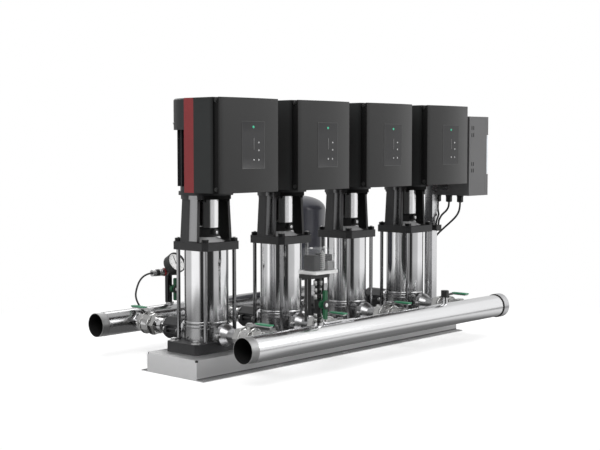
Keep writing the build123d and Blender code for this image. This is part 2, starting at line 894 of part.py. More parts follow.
# Diaphragm tank with two domes, screwed onto its socket
tank_low = tank_bottom + tank_dome
tank_high = tank_bottom + tank_height - tank_dome
with BuildPart() as one_tank:
    with BuildSketch(Plane.XZ):
        with BuildLine():
            Polyline(
                (0, tank_bottom),
                (tank_foot_radius, tank_bottom),
                (tank_radius, tank_low),
                (tank_radius, tank_high),
                (tank_radius - tank_dome, tank_bottom + tank_height - tank_crown),
                (0, tank_bottom + tank_height),
                close=True,
            )
        make_face()
    revolve(axis=Axis.Z)
with BuildPart() as diaphragm_tank:
    with Locations((tank_x, discharge_y, 0)):
        add(one_tank.part)
diaphragm_tank.part.label = "diaphragm_tank"
export_step(diaphragm_tank.part, "parts/diaphragm_tank.step")

# Cabinet post with its plate, the cabinet and its door
with BuildPart() as cabinet_post:
    with BuildSketch(Plane.XY.offset(frame_height)):
        with Locations((post_right - post_depth / 2, post_y)):
            Rectangle(post_depth, post_width)
        with Locations((post_right - post_depth / 2 + post_wall, post_y)):
            Rectangle(post_depth, post_width - 2 * post_wall, mode=Mode.SUBTRACT)
    extrude(amount=post_top - frame_height)
    with BuildSketch(Plane.YZ.offset(post_right)):
        with Locations((post_y, post_top - bracket_height / 2)):
            Rectangle(bracket_width, bracket_height)
    extrude(amount=bracket_thickness)
cabinet_post.part.label = "cabinet_post"
export_step(cabinet_post.part, "parts/cabinet_post.step")
cabinet_left = post_right + bracket_thickness
cabinet_middle = cabinet_bottom + cabinet_height / 2
with BuildPart() as cabinet_box:
    with BuildSketch(Plane.YZ.offset(cabinet_left)):
        with Locations((0, cabinet_middle)):
            Rectangle(cabinet_width, cabinet_height)
    extrude(amount=cabinet_depth)
    with BuildSketch(Plane.YZ.offset(cabinet_left + cabinet_wall)):
        with Locations((0, cabinet_middle)):
            Rectangle(cabinet_width - 2 * cabinet_wall, cabinet_height - 2 * cabinet_wall)
    extrude(amount=cabinet_depth - cabinet_wall, mode=Mode.SUBTRACT)
cabinet_box.part.label = "cabinet_box"
export_step(cabinet_box.part, "parts/cabinet_box.step")
door_back = cabinet_left + cabinet_depth + seat_gap
with BuildPart() as cabinet_door:
    with BuildSketch(Plane.YZ.offset(door_back)):
        with Locations((0, cabinet_middle)):
            Rectangle(cabinet_width, cabinet_height)
    extrude(amount=door_thickness)
    with BuildSketch(Plane.YZ.offset(door_back + door_thickness - display_recess)):
        with Locations((-display_margin / 2, display_bottom + display_height / 2)):
            Rectangle(cabinet_width - display_margin, display_height)
    extrude(amount=display_recess, mode=Mode.SUBTRACT)
cabinet_door.part.label = "cabinet_door"
export_step(cabinet_door.part, "parts/cabinet_door.step")

# Stand on the discharge manifold: pipe, tap body, block for the transmitter and stem of the gauge
gauge_plane = Plane(origin=(transmitter_x, gauge_y, gauge_z), x_dir=(1, 0, 0), z_dir=(0, -1, gauge_slope))
gauge_strip_x = transmitter_x - (tap_body + gauge_strip_thickness) / 2 + gauge_strip_sink
with BuildPart() as gauge_stand:
    with BuildSketch(Plane.XY.offset(socket_top)):
        with Locations((transmitter_x, discharge_y)):
            RegularPolygon(stand_pipe_radius, turned_sides)
    extrude(amount=block_bottom - socket_top)
    with BuildSketch(Plane.XY.offset(socket_top)):
        with Locations((gauge_strip_x, discharge_y)):
            Rectangle(gauge_strip_thickness, gauge_strip_width)
    extrude(amount=block_bottom - socket_top)
    with BuildSketch(Plane.XY.offset(gauge_tap_z - tap_body / 2)):
        with Locations((transmitter_x, discharge_y)):
            RegularPolygon(tap_body / 2, 6, major_radius=False)
    extrude(amount=tap_body)
    with BuildSketch(Plane.XY.offset(block_bottom)):
        with Locations((transmitter_x, discharge_y)):
            Rectangle(block_side, block_side)
    extrude(amount=block_height)
    with BuildSketch(gauge_plane.offset(-gauge_depth - gauge_stem_length)):
        RegularPolygon(gauge_stem_radius, 8)
    extrude(amount=gauge_stem_length)
gauge_stand.part.label = "gauge_stand"
export_step(gauge_stand.part, "parts/gauge_stand.step")

# Pressure transmitter on the left of the block
transmitter_right = transmitter_x - block_side / 2
with BuildPart() as pressure_transmitter:
    with BuildSketch(Plane.YZ.offset(transmitter_right)):
        with Locations((discharge_y, transmitter_z)):
            RegularPolygon(transmitter_hex / 2, 6, major_radius=False)
    extrude(amount=-transmitter_hex_width)
    with BuildSketch(Plane.YZ.offset(transmitter_right - transmitter_hex_width)):
        with Locations((discharge_y, transmitter_z)):
            RegularPolygon(transmitter_radius, turned_sides)
    extrude(amount=-transmitter_length)
pressure_transmitter.part.label = "pressure_transmitter"
export_step(pressure_transmitter.part, "parts/pressure_transmitter.step")

# Pressure gauge, tilted back, with its case, glass and pointer
with BuildPart() as gauge_case:
    with BuildSketch(gauge_plane.offset(-gauge_depth)):
        RegularPolygon(gauge_radius, 2 * turned_sides)
    extrude(amount=gauge_depth)
    with BuildSketch(gauge_plane.offset(-gauge_recess)):
        RegularPolygon(gauge_radius - gauge_wall, 2 * turned_sides)
    extrude(amount=gauge_recess, mode=Mode.SUBTRACT)
gauge_case.part.label = "gauge_case"
export_step(gauge_case.part, "parts/gauge_case.step")
with BuildPart() as gauge_glass:
    with BuildSketch(gauge_plane.offset(-gauge_glass_depth - gauge_glass_thickness)):
        RegularPolygon(gauge_radius - gauge_wall, 2 * turned_sides)
    extrude(amount=gauge_glass_thickness)
gauge_glass.part.label = "gauge_glass"
export_step(gauge_glass.part, "parts/gauge_glass.step")
with BuildPart() as gauge_pointer:
    with BuildSketch(gauge_plane.offset(-gauge_recess + seat_gap)):
        RegularPolygon(pointer_hub_radius, 8)
        with Locations((0, pointer_length / 2)):
            Rectangle(pointer_width, pointer_length)
    extrude(amount=pointer_thickness)
gauge_pointer.part.label = "gauge_pointer"
export_step(gauge_pointer.part, "parts/gauge_pointer.step")

# Stand of the pressure switch on the suction manifold
rest_bottom = switch_plate_z - switch_rest_thickness
with BuildPart() as switch_stand:
    with BuildSketch(Plane.XY.offset(socket_top)):
        with Locations((switch_x, suction_y)):
            RegularPolygon(switch_post_radius, turned_sides)
    extrude(amount=rest_bottom - socket_top)
    with BuildSketch(Plane.XY.offset(switch_tap_z - tap_body / 2)):
        with Locations((switch_x, suction_y)):
            RegularPolygon(tap_body / 2, 6, major_radius=False)
    extrude(amount=tap_body)
    with BuildSketch(Plane.XY.offset(rest_bottom)):
        with Locations(((switch_rod_left + switch_rod_right) / 2, suction_y)):
            Rectangle(switch_rod_right - switch_rod_left + 2 * switch_rod_radius, switch_rest_width)
    extrude(amount=switch_rest_thickness)
    with BuildSketch(Plane.XY.offset(rest_bottom)):
        with Locations((switch_rod_left, suction_y), (switch_rod_right, suction_y)):
            RegularPolygon(switch_rod_radius, 8)
    extrude(amount=-switch_rod_length)
    with BuildSketch(Plane.XY.offset(rest_bottom)):
        with Locations((strip_x, suction_y)):
            Rectangle(strip_thickness, strip_width)
    extrude(amount=-strip_length)
switch_stand.part.label = "switch_stand"
export_step(switch_stand.part, "parts/switch_stand.step")
with BuildPart() as switch_base:
    with BuildSketch(Plane.XY.offset(switch_plate_z)):
        with Locations((switch_x, suction_y)):
            Rectangle(switch_plate_length, switch_plate_width)
    extrude(amount=switch_plate_thickness)
switch_base.part.label = "switch_base"
export_step(switch_base.part, "parts/switch_base.step")

# Clear cover of the switch, a tapered hood open underneath
hood_bottom = switch_plate_z + switch_plate_thickness
hood_top = hood_bottom + switch_cover_height
with BuildPart() as switch_cover:
    for wall, mode in ((0, Mode.ADD), (switch_cover_wall, Mode.SUBTRACT)):
        with BuildSketch(Plane.XY.offset(hood_bottom)):
            with Locations((switch_x, suction_y)):
                Rectangle(switch_plate_length - 2 * wall, switch_plate_width - 2 * wall)
        extrude(amount=switch_cover_height - wall, taper=switch_cover_slope, mode=mode)
switch_cover.part.label = "switch_cover"
export_step(switch_cover.part, "parts/switch_cover.step")

# Works of the switch: bellows housing, two springs' sleeves and the contact block
with BuildPart() as switch_works:
    with BuildSketch(Plane.XY.offset(hood_bottom)):
        with Locations((switch_x - works_spacing, suction_y)):
            Rectangle(works_width, works_depth)
        with Locations((switch_x + works_spacing, suction_y)):
            Rectangle(works_width, works_depth)
    extrude(amount=works_height)
    with BuildSketch(Plane.XY.offset(hood_bottom)):
        with Locations((switch_x, suction_y)):
            RegularPolygon(works_spring_radius, turned_sides)
    extrude(amount=works_spring_height)
switch_works.part.label = "switch_works"
export_step(switch_works.part, "parts/switch_works.step")

# Handles of the two taps, each a bar across the stem
tap_face = tap_body / 2 + seat_gap
for name, middle_x, middle_y, middle_z, bar in (
    ("gauge_tap_handle", transmitter_x, discharge_y, gauge_tap_z, gauge_tap_bar),
    ("switch_tap_handle", switch_x, suction_y, switch_tap_z, switch_tap_bar),
):
    with BuildPart() as tap_handle:
        with BuildSketch(Plane.XZ.offset(tap_face - middle_y)):
            with Locations((middle_x, middle_z)):
                RegularPolygon(tap_hub_radius, 8)
        extrude(amount=tap_hub_length)
        with BuildSketch(Plane.XZ.offset(tap_face + tap_hub_length - middle_y)):
            with Locations((middle_x, middle_z)):
                bar_outline = Rectangle(tap_bar_width, bar)
            chamfer(bar_outline.vertices(), tap_bar_width / 4)
        extrude(amount=tap_bar_thickness)
    tap_handle.part.label = name
    export_step(tap_handle.part, f"parts/{name}.step")

# Glands under the cabinet and the clip on the post
with BuildPart() as cabinet_glands:
    with BuildSketch(Plane.XY.offset(cabinet_bottom)):
        with Locations(*[(gland_x, y) for y in gland_places]):
            RegularPolygon(gland_across / 2, 6, major_radius=False)
    extrude(amount=-gland_length)
cabinet_glands.part.label = "cabinet_glands"
export_step(cabinet_glands.part, "parts/cabinet_glands.step")
with BuildPart() as cable_clip:
    with BuildSketch(Plane.XY.offset(clip_z)):
        with Locations((post_right - clip_length / 2, post_y - post_width / 2 - clip_depth / 2)):
            Rectangle(clip_length, clip_depth)
    extrude(amount=clip_height)
cable_clip.part.label = "cable_clip"
export_step(cable_clip.part, "parts/cable_clip.step")

# Cables with their routes, each from its gland or plug to where it goes in
cable_routes = {
    "sensor_cable": (
        6.0,
        [
            (-401.5, 367.6, 257),
            (-421, 367.6, 257),
            (-450, 366, 244),
            (-469, 363, 218),
            (-479, 360, 186),
            (-470, 345, 152),
            (-452, 325, 126),
            (-437, 312, 98),
            (-425, 280, 72),
            (-418, 215, 50),
            (-415, 150, 36),
            (-415, 109, 36),
        ],
    ),
    "cabinet_cable_1": (
        7.0,
        [
            (675, 3, 466.5),
            (675, 3, 453),
            (670.6, 0.6, 440.6),
            (664, -6, 431),
            (655, -14, 425),
            (646, -22, 420.5),
            (636, -27, 414),
            (627.5, -28.5, 404.5),
            (622, -28, 393),
            (622, -28, 382),
        ],
    ),
    "cabinet_cable_2": (
        7.0,
        [
            (675, -46.5, 466.5),
            (675, -46.5, 453.6),
            (671, -44.7, 441.6),
            (663.5, -41.4, 431.8),
            (654.1, -37.3, 424.1),
            (646.5, -34.5, 418),
            (640, -32, 407.5),
            (635.5, -28.5, 395.5),
            (635.5, -28.5, 382),
        ],
    ),
    "cabinet_cable_3": (
        7.0,
        [
            (675, -96, 466.5),
            (675, -96, 442),
            (673, -84, 416),
            (667, -60, 392),
            (659, -34, 368),
            (648, -13, 345),
            (635, -4, 322),
            (627, -2, 296),
            (626.5, -2.5, 250),
            (627.5, -1, 175),
            (626, -3, 105),
            (626, -3, 59.5),
        ],
    ),
}
for name, (diameter, route) in cable_routes.items():
    points = [Vector(*point) for point in route]
    runs = [after - before for before, after in zip(points, points[1:])]
    radii = []
    for before, after in zip(runs, runs[1:]):
        half_turn = before.get_angle(after) / 2
        radii.append(0.45 * min(before.length, after.length) / tan(radians(half_turn)))
    print(name, "radii", [round(radius, 1) for radius in radii])
    with BuildPart() as cable:
        with BuildLine():
            path = FilletPolyline(*points, radius=radii)
        with BuildSketch(Plane(origin=points[0], z_dir=runs[0])) as section:
            RegularPolygon(diameter / 2, cable_sides)
        sweep(path=path)
    swept = path.length * section.sketch.area
    print(name, "length", round(path.length, 1), "volume error", round(cable.part.volume / swept - 1, 5))
    cable.part.label = name
    export_step(cable.part, f"parts/{name}.step")
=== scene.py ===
from math import cos, pi, radians, sin

import bpy
from mathutils import Matrix, Vector


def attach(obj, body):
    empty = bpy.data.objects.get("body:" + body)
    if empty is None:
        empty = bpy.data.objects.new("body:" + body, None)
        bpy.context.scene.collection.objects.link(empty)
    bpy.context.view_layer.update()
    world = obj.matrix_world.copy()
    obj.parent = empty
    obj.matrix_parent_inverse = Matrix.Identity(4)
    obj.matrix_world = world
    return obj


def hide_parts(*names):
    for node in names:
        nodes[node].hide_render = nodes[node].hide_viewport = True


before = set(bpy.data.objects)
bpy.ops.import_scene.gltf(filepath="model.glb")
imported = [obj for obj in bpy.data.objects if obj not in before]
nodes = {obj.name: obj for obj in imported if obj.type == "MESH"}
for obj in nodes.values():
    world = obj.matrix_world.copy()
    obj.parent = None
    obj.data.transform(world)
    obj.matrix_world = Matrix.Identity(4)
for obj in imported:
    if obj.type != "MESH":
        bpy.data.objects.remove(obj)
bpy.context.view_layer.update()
print("frame loaded:", len(nodes), "nodes")

# The row of pumps. Lengths are in metres; cable routes and turned profiles are in millimetres
rowSettings = {"pitch": 0.325, "y": 0.0125, "port": 0.1115, "headTop": 0.388}
pumpPlaces = [(number - 1.5) * rowSettings["pitch"] for number in range(4)]


# Shader maths: a socket with operators, so that an expression adds its Math nodes
class Wire:
    def __init__(self, tree, socket):
        self.tree = tree
        self.socket = socket

    def maths(self, operation, *values):
        node = addNode(self.tree, "ShaderNodeMath", {"operation": operation}, dict(enumerate(values)))
        return Wire(self.tree, node.outputs[0])

    def __add__(self, other): return self.maths("ADD", self, other)
    def __sub__(self, other): return self.maths("SUBTRACT", self, other)
    def __rsub__(self, other): return self.maths("SUBTRACT", other, self)
    def __mul__(self, other): return self.maths("MULTIPLY", self, other)
    def __truediv__(self, other): return self.maths("DIVIDE", self, other)
    def __pow__(self, other): return self.maths("POWER", self, other)
    def __gt__(self, other): return self.maths("GREATER_THAN", self, other)
    def __lt__(self, other): return self.maths("LESS_THAN", self, other)
    def __abs__(self): return self.maths("ABSOLUTE", self)
    def sine(self): return self.maths("SINE", self)
    def clamped(self): return self.maths("MINIMUM", self.maths("MAXIMUM", self, 0.0), 1.0)


def fill(tree, socket, value):
    if isinstance(value, Wire):
        tree.links.new(value.socket, socket)
    else:
        socket.default_value = value


def addNode(tree, kind, settings=None, inputs=None):
    node = tree.nodes.new(kind)
    for name, value in (settings or {}).items():
        if name == "stops":
            fillRamp(node.color_ramp, value)
        else:
            setattr(node, name, value)
    for name, value in (inputs or {}).items():
        fill(tree, node.inputs[name], value)
    return node


def colour(shade):
    return (shade, shade, shade, 1) if isinstance(shade, float) else (*shade, 1)


def fillRamp(ramp, stops):
    while len(ramp.elements) < len(stops):
        ramp.elements.new(0.5)
    for element, (place, shade) in zip(ramp.elements, stops):
        element.position = place
        element.color = colour(shade)


def axesOf(tree, vector):
    split = addNode(tree, "ShaderNodeSeparateXYZ", {}, {"Vector": vector})
    return [Wire(tree, socket) for socket in split.outputs]


# Direction round the Z axis, as a part of a full turn from +X
def turnPart(east, north):
    turn = north.maths("ARCTAN2", north, east) / (2 * pi)
    return turn + (turn < 0)


# Distance across from the axis of the nearest pump
def fromPump(across):
    cell = across / rowSettings["pitch"] + 2
    return (cell.maths("FRACT", cell) - 0.5) * rowSettings["pitch"]


class Finish:
    def __init__(self, name):
        self.material = bpy.data.materials.new(name)
        self.material.use_nodes = True
        self.tree = self.material.node_tree
        self.surface = self.tree.nodes["Principled BSDF"]

    def node(self, kind, settings=None, inputs=None, output=0):
        return Wire(self.tree, addNode(self.tree, kind, settings, inputs).outputs[output])

    def axis(self, letter):
        spot = self.node("ShaderNodeTexCoord", output="Object")
        return axesOf(self.tree, spot)["XYZ".index(letter)]

    def noise(self, scale, stretch=(1, 1, 1), detail=3.0):
        spot = self.node("ShaderNodeTexCoord", output="Object")
        spot = self.node("ShaderNodeMapping", {}, {"Vector": spot, "Scale": stretch})
        sizes = {"Vector": spot, "Scale": scale, "Detail": detail, "Roughness": 0.55}
        return self.node("ShaderNodeTexNoise", {}, sizes, output="Fac")

    def mix(self, factor, first, second):
        first, second = (value if isinstance(value, Wire) else colour(value) for value in (first, second))
        inputs = {"Factor": factor, 6: first, 7: second}
        return self.node("ShaderNodeMix", {"data_type": "RGBA"}, inputs, output=2)

    def bump(self, height, distance, strength):
        inputs = {"Height": height, "Distance": distance, "Strength": strength}
        return self.node("ShaderNodeBump", {}, inputs, output="Normal")

    def set(self, **values):
        for name, value in values.items():
            value = (*value, 1) if isinstance(value, tuple) else value
            fill(self.tree, self.surface.inputs[name.replace("_", " ")], value)
        return self.material

    def coat(self, shade, rough, height, lift, strength=0.5, **others):
        return self.set(Base_Color=shade, Roughness=rough, Normal=self.bump(height, lift, strength), **others)


# Paint and plastic: two close shades in a broad cloud, and a fine grain in roughness and height
def paint(name, dark, light, cloud, grain, rough, spread=0.12, lift=0.0001, strength=0.5, detail=2.0,
          **extras):
    finish = Finish(name)
    fine = finish.noise(grain, detail=detail)
    broad = finish.noise(cloud) if cloud else fine
    return finish.coat(finish.mix(broad, dark, light), fine * spread + rough, fine, lift, strength, **extras)


def linked(name, data):
    piece = bpy.data.objects.new(name, data)
    bpy.context.scene.collection.objects.link(piece)
    return piece


def curveThrough(name, points, radius, rings):
    curve = bpy.data.curves.new(name, "CURVE")
    curve.dimensions = "3D"
    curve.bevel_depth = radius
    curve.bevel_resolution = rings
    curve.use_fill_caps = True
    spline = curve.splines.new("NURBS")
    spline.points.add(len(points) - 1)
    for point, spot in zip(spline.points, points):
        point.co = (*spot, 1)
    spline.use_endpoint_u = True
    spline.order_u = 3
    return linked(name, curve)


def inMetres(route):
    return [tuple(value / 1000 for value in spot) for spot in route]


# Camera, at the photograph's place and angle
cameraSettings = {"place": (-2.88684, -2.58628, 0.67906), "yaw": -47.287, "down": 3.943, "lens": 70.6,
                  "sensor": 36, "reach": 50}
cameraData = bpy.data.cameras.new("camera")
spot, yaw, down, cameraData.lens, cameraData.sensor_width, cameraData.clip_end = cameraSettings.values()
camera = linked("camera", cameraData)
camera.location = spot
turn = Matrix.Rotation(radians(yaw), 4, "Z") @ Matrix.Rotation(radians(90 - down), 4, "X")
camera.rotation_euler = turn.to_euler()
bpy.context.scene.camera = camera
print("camera set")

# Cables: diameter, length in metres, and the same route as their tube
cableSettings = {
    "sensor_cable": (6, 0.443, [
        (-401.5, 367.6, 257), (-421, 367.6, 257), (-450, 366, 244), (-469, 363, 218), (-479, 360, 186),
        (-470, 345, 152), (-452, 325, 126), (-437, 312, 98), (-425, 280, 72), (-418, 215, 50),
        (-415, 150, 36), (-415, 109, 36)]),
    "cabinet_cable_1": (7, 0.115, [
        (675, 3, 466.5), (675, 3, 453), (670.6, 0.6, 440.6), (664, -6, 431), (655, -14, 425),
        (646, -22, 420.5), (636, -27, 414), (627.5, -28.5, 404.5), (622, -28, 393), (622, -28, 382)]),
    "cabinet_cable_2": (7, 0.1, [
        (675, -46.5, 466.5), (675, -46.5, 453.6), (671, -44.7, 441.6), (663.5, -41.4, 431.8),
        (654.1, -37.3, 424.1), (646.5, -34.5, 418), (640, -32, 407.5), (635.5, -28.5, 395.5),
        (635.5, -28.5, 382)]),
    "cabinet_cable_3": (7, 0.447, [
        (675, -96, 466.5), (675, -96, 442), (673, -84, 416), (667, -60, 392), (659, -34, 368),
        (648, -13, 345), (635, -4, 322), (627, -2, 296), (626.5, -2.5, 250), (627.5, -1, 175),
        (626, -3, 105), (626, -3, 59.5)]),
}


def layCables():
    sheath = paint("cableSheath", (0.012, 0.012, 0.013), (0.03, 0.03, 0.032), None, 400, 0.4, 0.15,
                   strength=1)
    for name, (diameter, length, route) in cableSettings.items():
        route = inMetres(route)
        cable = curveThrough(name + "_line", route, diameter / 2000, 6)
        cable.data.materials.append(sheath)
        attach(cable, "pump_set")
        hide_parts(name)


layCables()
print("cables laid")

# Studio: pale floor, white surround, and soft lamps
studio = {"floorSize": 40, "whiteFrom": 0.75, "whiteTo": 1.5, "floorGlow": 0.5, "ambient": 0.42,
          "squeeze": 0.45, "overheadFrom": 0.6, "overhead": 0.8, "aim": (0, 0, 0.4)}
# What metal sees of the floor, by distance from the row in metres
floorStops = [(0.0, 0.2), (0.41, 0.2), (0.52, 0.8), (0.64, 0.85), (0.74, 0.28), (0.98, 0.28), (1.2, 1.0)]
# What polished metal sees round the object, by direction in degrees from the +X axis
cardStops = [(0, 0.8), (40, 0.7), (62, 0.5), (96, 0.6), (138, 0.62), (148, 1.15), (188, 1.15), (197, 0.03),
             (262, 0.03), (268, 0.55), (302, 0.62), (308, 1.0), (340, 1.0)]
# Place, size and power of every lamp
lampSettings = {"keyLamp": ((-2.6, -1.4, 3.0), (2.4, 2.4), 62),
                "sideLamp": ((1.6, -3.4, 2.4), (2.2, 2.6), 58),
                "backLamp": ((1.2, 3.0, 2.6), (2.6, 1.6), 30)}


def cardLevel(tree, east, north):
    stops = [(place / 360, level / 2) for place, level in cardStops]
    ramp = addNode(tree, "ShaderNodeValToRGB", {"stops": stops}, {0: turnPart(east, north)})
    return Wire(tree, ramp.outputs[0]) * 2


def floorFinish():
    finish = Finish("paleFloor")
    across, deep = finish.axis("X"), finish.axis("Y")
    far = (across * across + deep * deep) ** 0.5 - studio["whiteFrom"]
    far = (far / (studio["whiteTo"] - studio["whiteFrom"])).clamped()
    seen = finish.node("ShaderNodeLightPath", output="Is Camera Ray")
    finish.set(Base_Color=(0.9, 0.9, 0.9), Roughness=0.9, Specular_IOR_Level=0, Emission_Color=(1, 1, 1),
               Emission_Strength=seen * studio["floorGlow"])
    plain = Wire(finish.tree, finish.surface.outputs[0])
    white = finish.node("ShaderNodeEmission")
    blend = finish.node("ShaderNodeMixShader", {}, {0: far * seen, 1: plain, 2: white})
    rays = finish.node("ShaderNodeNewGeometry", output="Incoming")
    east, north = (axis * -1 for axis in axesOf(finish.tree, rays)[:2])
    squeezed = across * studio["squeeze"]
    reach = (squeezed * squeezed + deep * deep) ** 0.5
    stops = [(place / 2, level) for place, level in floorStops]
    level = finish.node("ShaderNodeValToRGB", {"stops": stops}, {0: reach / 2})
    level = cardLevel(finish.tree, east, north) * level
    mirrored = finish.node("ShaderNodeEmission", {}, {"Strength": level})
    glossy = finish.node("ShaderNodeLightPath", output="Is Glossy Ray")
    either = finish.node("ShaderNodeMixShader", {}, {0: glossy, 1: blend, 2: mirrored})
    fill(finish.tree, finish.tree.nodes["Material Output"].inputs["Surface"], either)
    return finish.material


def setFloor():
    bpy.ops.mesh.primitive_plane_add(size=studio["floorSize"])
    floor = bpy.context.object
    floor.name = "floor"
    floor.data.materials.append(floorFinish())


# The surround is white to the camera; metal sees the cards
def setSurround():
    world = bpy.data.worlds.new("surround")
    world.use_nodes = True
    bpy.context.scene.world = world
    tree = world.node_tree
    spot = addNode(tree, "ShaderNodeTexCoord")
    east, north, height = axesOf(tree, Wire(tree, spot.outputs["Generated"]))
    overhead = ((height - studio["overheadFrom"]) * 5).clamped()
    card = cardLevel(tree, east, north) * (1 - overhead) + overhead * studio["overhead"]
    rays = addNode(tree, "ShaderNodeLightPath")
    names = ("Is Glossy Ray", "Is Camera Ray", "Is Transmission Ray")
    glossy, seen, through = (Wire(tree, rays.outputs[name]) for name in names)
    clear = (seen + through).clamped()
    level = clear + (1 - clear) * (glossy * card + (1 - glossy) * studio["ambient"])
    background = tree.nodes["Background"]
    fill(tree, background.inputs["Strength"], level)
    fill(tree, background.inputs["Color"], (1, 1, 1, 1))


def setLamps():
    for name, (place, size, power) in lampSettings.items():
        light = bpy.data.lights.new(name, "AREA")
        light.shape = "RECTANGLE"
        light.size, light.size_y = size
        light.energy = power
        holder = linked(name, light)
        holder.location = place
        aim = Vector(studio["aim"]) - Vector(place)
        holder.rotation_euler = aim.to_track_quat("-Z", "Y").to_euler()


setFloor()
setSurround()
setLamps()
bpy.context.scene.view_settings.view_transform = "Standard"
print("studio set")

# Stool: the cast coat, with painted shade inside the window, and a smoother, metallic strip on each leg's
# rounded outside whose lighter colour is a painted highlight, brightest on the first stool
stoolSettings = {"low": 0.392, "high": 0.534, "legInside": 0.0617, "taper": 0.0433, "stripFrom": 0.512,
                 "stripTo": 0.575, "firstStool": -0.36}


def stoolCoat():
    finish = Finish("stoolCoat")
    grain = finish.noise(260, detail=4.0)
    high = finish.axis("Z")
    across, deep = fromPump(finish.axis("X")), finish.axis("Y") - rowSettings["y"]
    turn = turnPart(across, deep)
    low, top, legInside, taper, stripFrom, stripTo, firstStool = stoolSettings.values()
    window = (high > low) * (high < top)
    highlightStrip = (turn > stripFrom) * (turn < stripTo) * window
    inside = (abs(across) < legInside - (high - low) * taper) * window
    shade = finish.mix(finish.noise(18), (0.012, 0.012, 0.013), (0.026, 0.026, 0.028))
    # Painted shade: near black inside the window
    shade = finish.mix(inside, shade, 0.002)
    first = ((firstStool - finish.axis("X")) * 20).clamped()
    # Painted highlight: the leg strip is lighter, and lightest on the first stool
    shade = finish.mix(highlightStrip, shade, finish.mix(first, (0.11, 0.11, 0.112), (0.27, 0.27, 0.275)))
    outward = finish.node("ShaderNodeCombineXYZ", {}, {"X": across, "Y": deep, "Z": 0.0})
    outward = finish.node("ShaderNodeVectorMath", {"operation": "NORMALIZE"}, {0: outward})
    normal = finish.mix(highlightStrip, finish.bump(grain, 0.0006, 0.5), outward)
    return finish.set(Base_Color=shade, Metallic=highlightStrip, Normal=normal,
                      Roughness=grain * 0.2 + 0.36 + inside * 0.4 - highlightStrip * 0.22)


# Frame paint: painted shade in the corner reliefs and in the fold above the lips, less metallic on the end
# faces
frameSettings = {"corner": 0.006, "length": 1.28, "width": 0.218, "top": 0.0595, "foldLow": 0.0028,
                 "foldHigh": 0.0062, "skin": 0.0006}


def framePaint():
    finish = Finish("framePaint")
    broad = finish.noise(7, detail=5.0)
    across, deep, high = (finish.axis(letter) for letter in "XYZ")
    corner, length, width, top, foldLow, foldHigh, skin = frameSettings.values()
    pastX, pastY = abs(across) - length / 2, abs(deep) - width / 2
    reliefShade = (pastX > -corner) * (pastY > -corner) * (high > top - corner)
    foldShade = (high > foldLow) * (high < foldHigh) * (pastY > -skin)
    # Painted shade: dark in the corner reliefs and in the fold above the lips
    dark = (reliefShade + foldShade * 0.8).clamped()
    end = (pastX > -skin) * (1 - dark)
    light = finish.mix(broad, (0.74, 0.74, 0.745), (0.86, 0.86, 0.865))
    fine = finish.noise(500, detail=2.0)
    return finish.coat(finish.mix(dark, light, 0.02), broad * 0.12 + 0.28, fine, 0.0001, 0.4,
                       Metallic=0.85 - dark * 0.85 - end * 0.5)


def steel(name, shade, rough, stretch, scale=60, spread=0.08, lift=0.00004):
    finish = Finish(name)
    lines = finish.noise(scale, stretch)
    light, dark = (tuple(part * level for part in shade) for level in (1.06, 0.86))
    shade = finish.mix(finish.noise(9), dark, light)
    return finish.coat(shade, lines * spread + rough, lines, lift, Metallic=1.0)


# Pump sleeve: mirror bright above, less smooth towards its foot, where painted shade makes it greyer
sleeveSettings = {"shadeFrom": 0.262, "shadeOver": 0.12}


def sleeveSteel():
    finish = Finish("sleeveSteel")
    lines = finish.noise(60, (1, 1, 0.05))
    # Painted shade: the sleeve darkens towards its foot
    foot = ((sleeveSettings["shadeFrom"] - finish.axis("Z")) / sleeveSettings["shadeOver"]).clamped()
    shade = finish.mix(finish.noise(9), (0.69, 0.69, 0.7), (0.85, 0.85, 0.86))
    shade = finish.mix(foot, shade, (0.34, 0.34, 0.345))
    return finish.coat(shade, lines * 0.06 + 0.07 + foot * 0.1, lines, 0.00004, Metallic=1.0)


# Manifold pipe: brushed along its length, with a matt threaded end and painted shade in its bore
pipeSettings = {"height": 0.1115, "bore": 0.0362, "boreEnd": 0.59, "pitch": 0.0023}


def manifoldSteel(name, threadEnd, middle, shadeLevel):
    finish = Finish(name)
    height, boreRadius, boreEnd, pitch = pipeSettings.values()
    along, side, rise = finish.axis("X"), finish.axis("Y") - middle, finish.axis("Z") - height
    # Painted shade: the bore is dark and not metallic
    bore = ((side * side + rise * rise) ** 0.5 < boreRadius) * (along < boreEnd)
    thread = (along < threadEnd) * (1 - bore)
    lines = finish.noise(40, (0.06, 1, 1), detail=4.0)
    ridges = (along * (2 * pi / pitch)).sine()
    dark, light = (0.78 * shadeLevel, 0.78 * shadeLevel, 0.79 * shadeLevel), (0.96 * shadeLevel, 0.96 * shadeLevel, 0.97 * shadeLevel)
    shade = finish.mix(lines, dark, light)
    shade = finish.mix(bore, finish.mix(thread, shade, 0.5), 0.006)
    rough = lines * 0.1 + 0.17 + thread * 0.22 + bore * 0.5
    return finish.coat(shade, rough, lines * 0.05 + ridges * thread * 0.5, 0.0006, 0.6, Metallic=1 - bore)


def plastic(name, dark, light, rough, grain=900, gloss=0.3):
    return paint(name, dark, light, 12, grain, rough, lift=0.00012, Coat_Roughness=0.2,
                 Coat_Weight=gloss * 0.3)


# Drive box: painted shade darkens its sides towards the screw groove and fills the groove; its front has
# painted shade at the left edge and painted light that lightens it to the right, more on the pumps further
# right
driveSettings = {"darkFrom": -0.138, "darkOver": 0.014, "grooveFront": -0.1688, "grooveBack": -0.1518,
                 "left": -0.1244, "width": 0.2453}


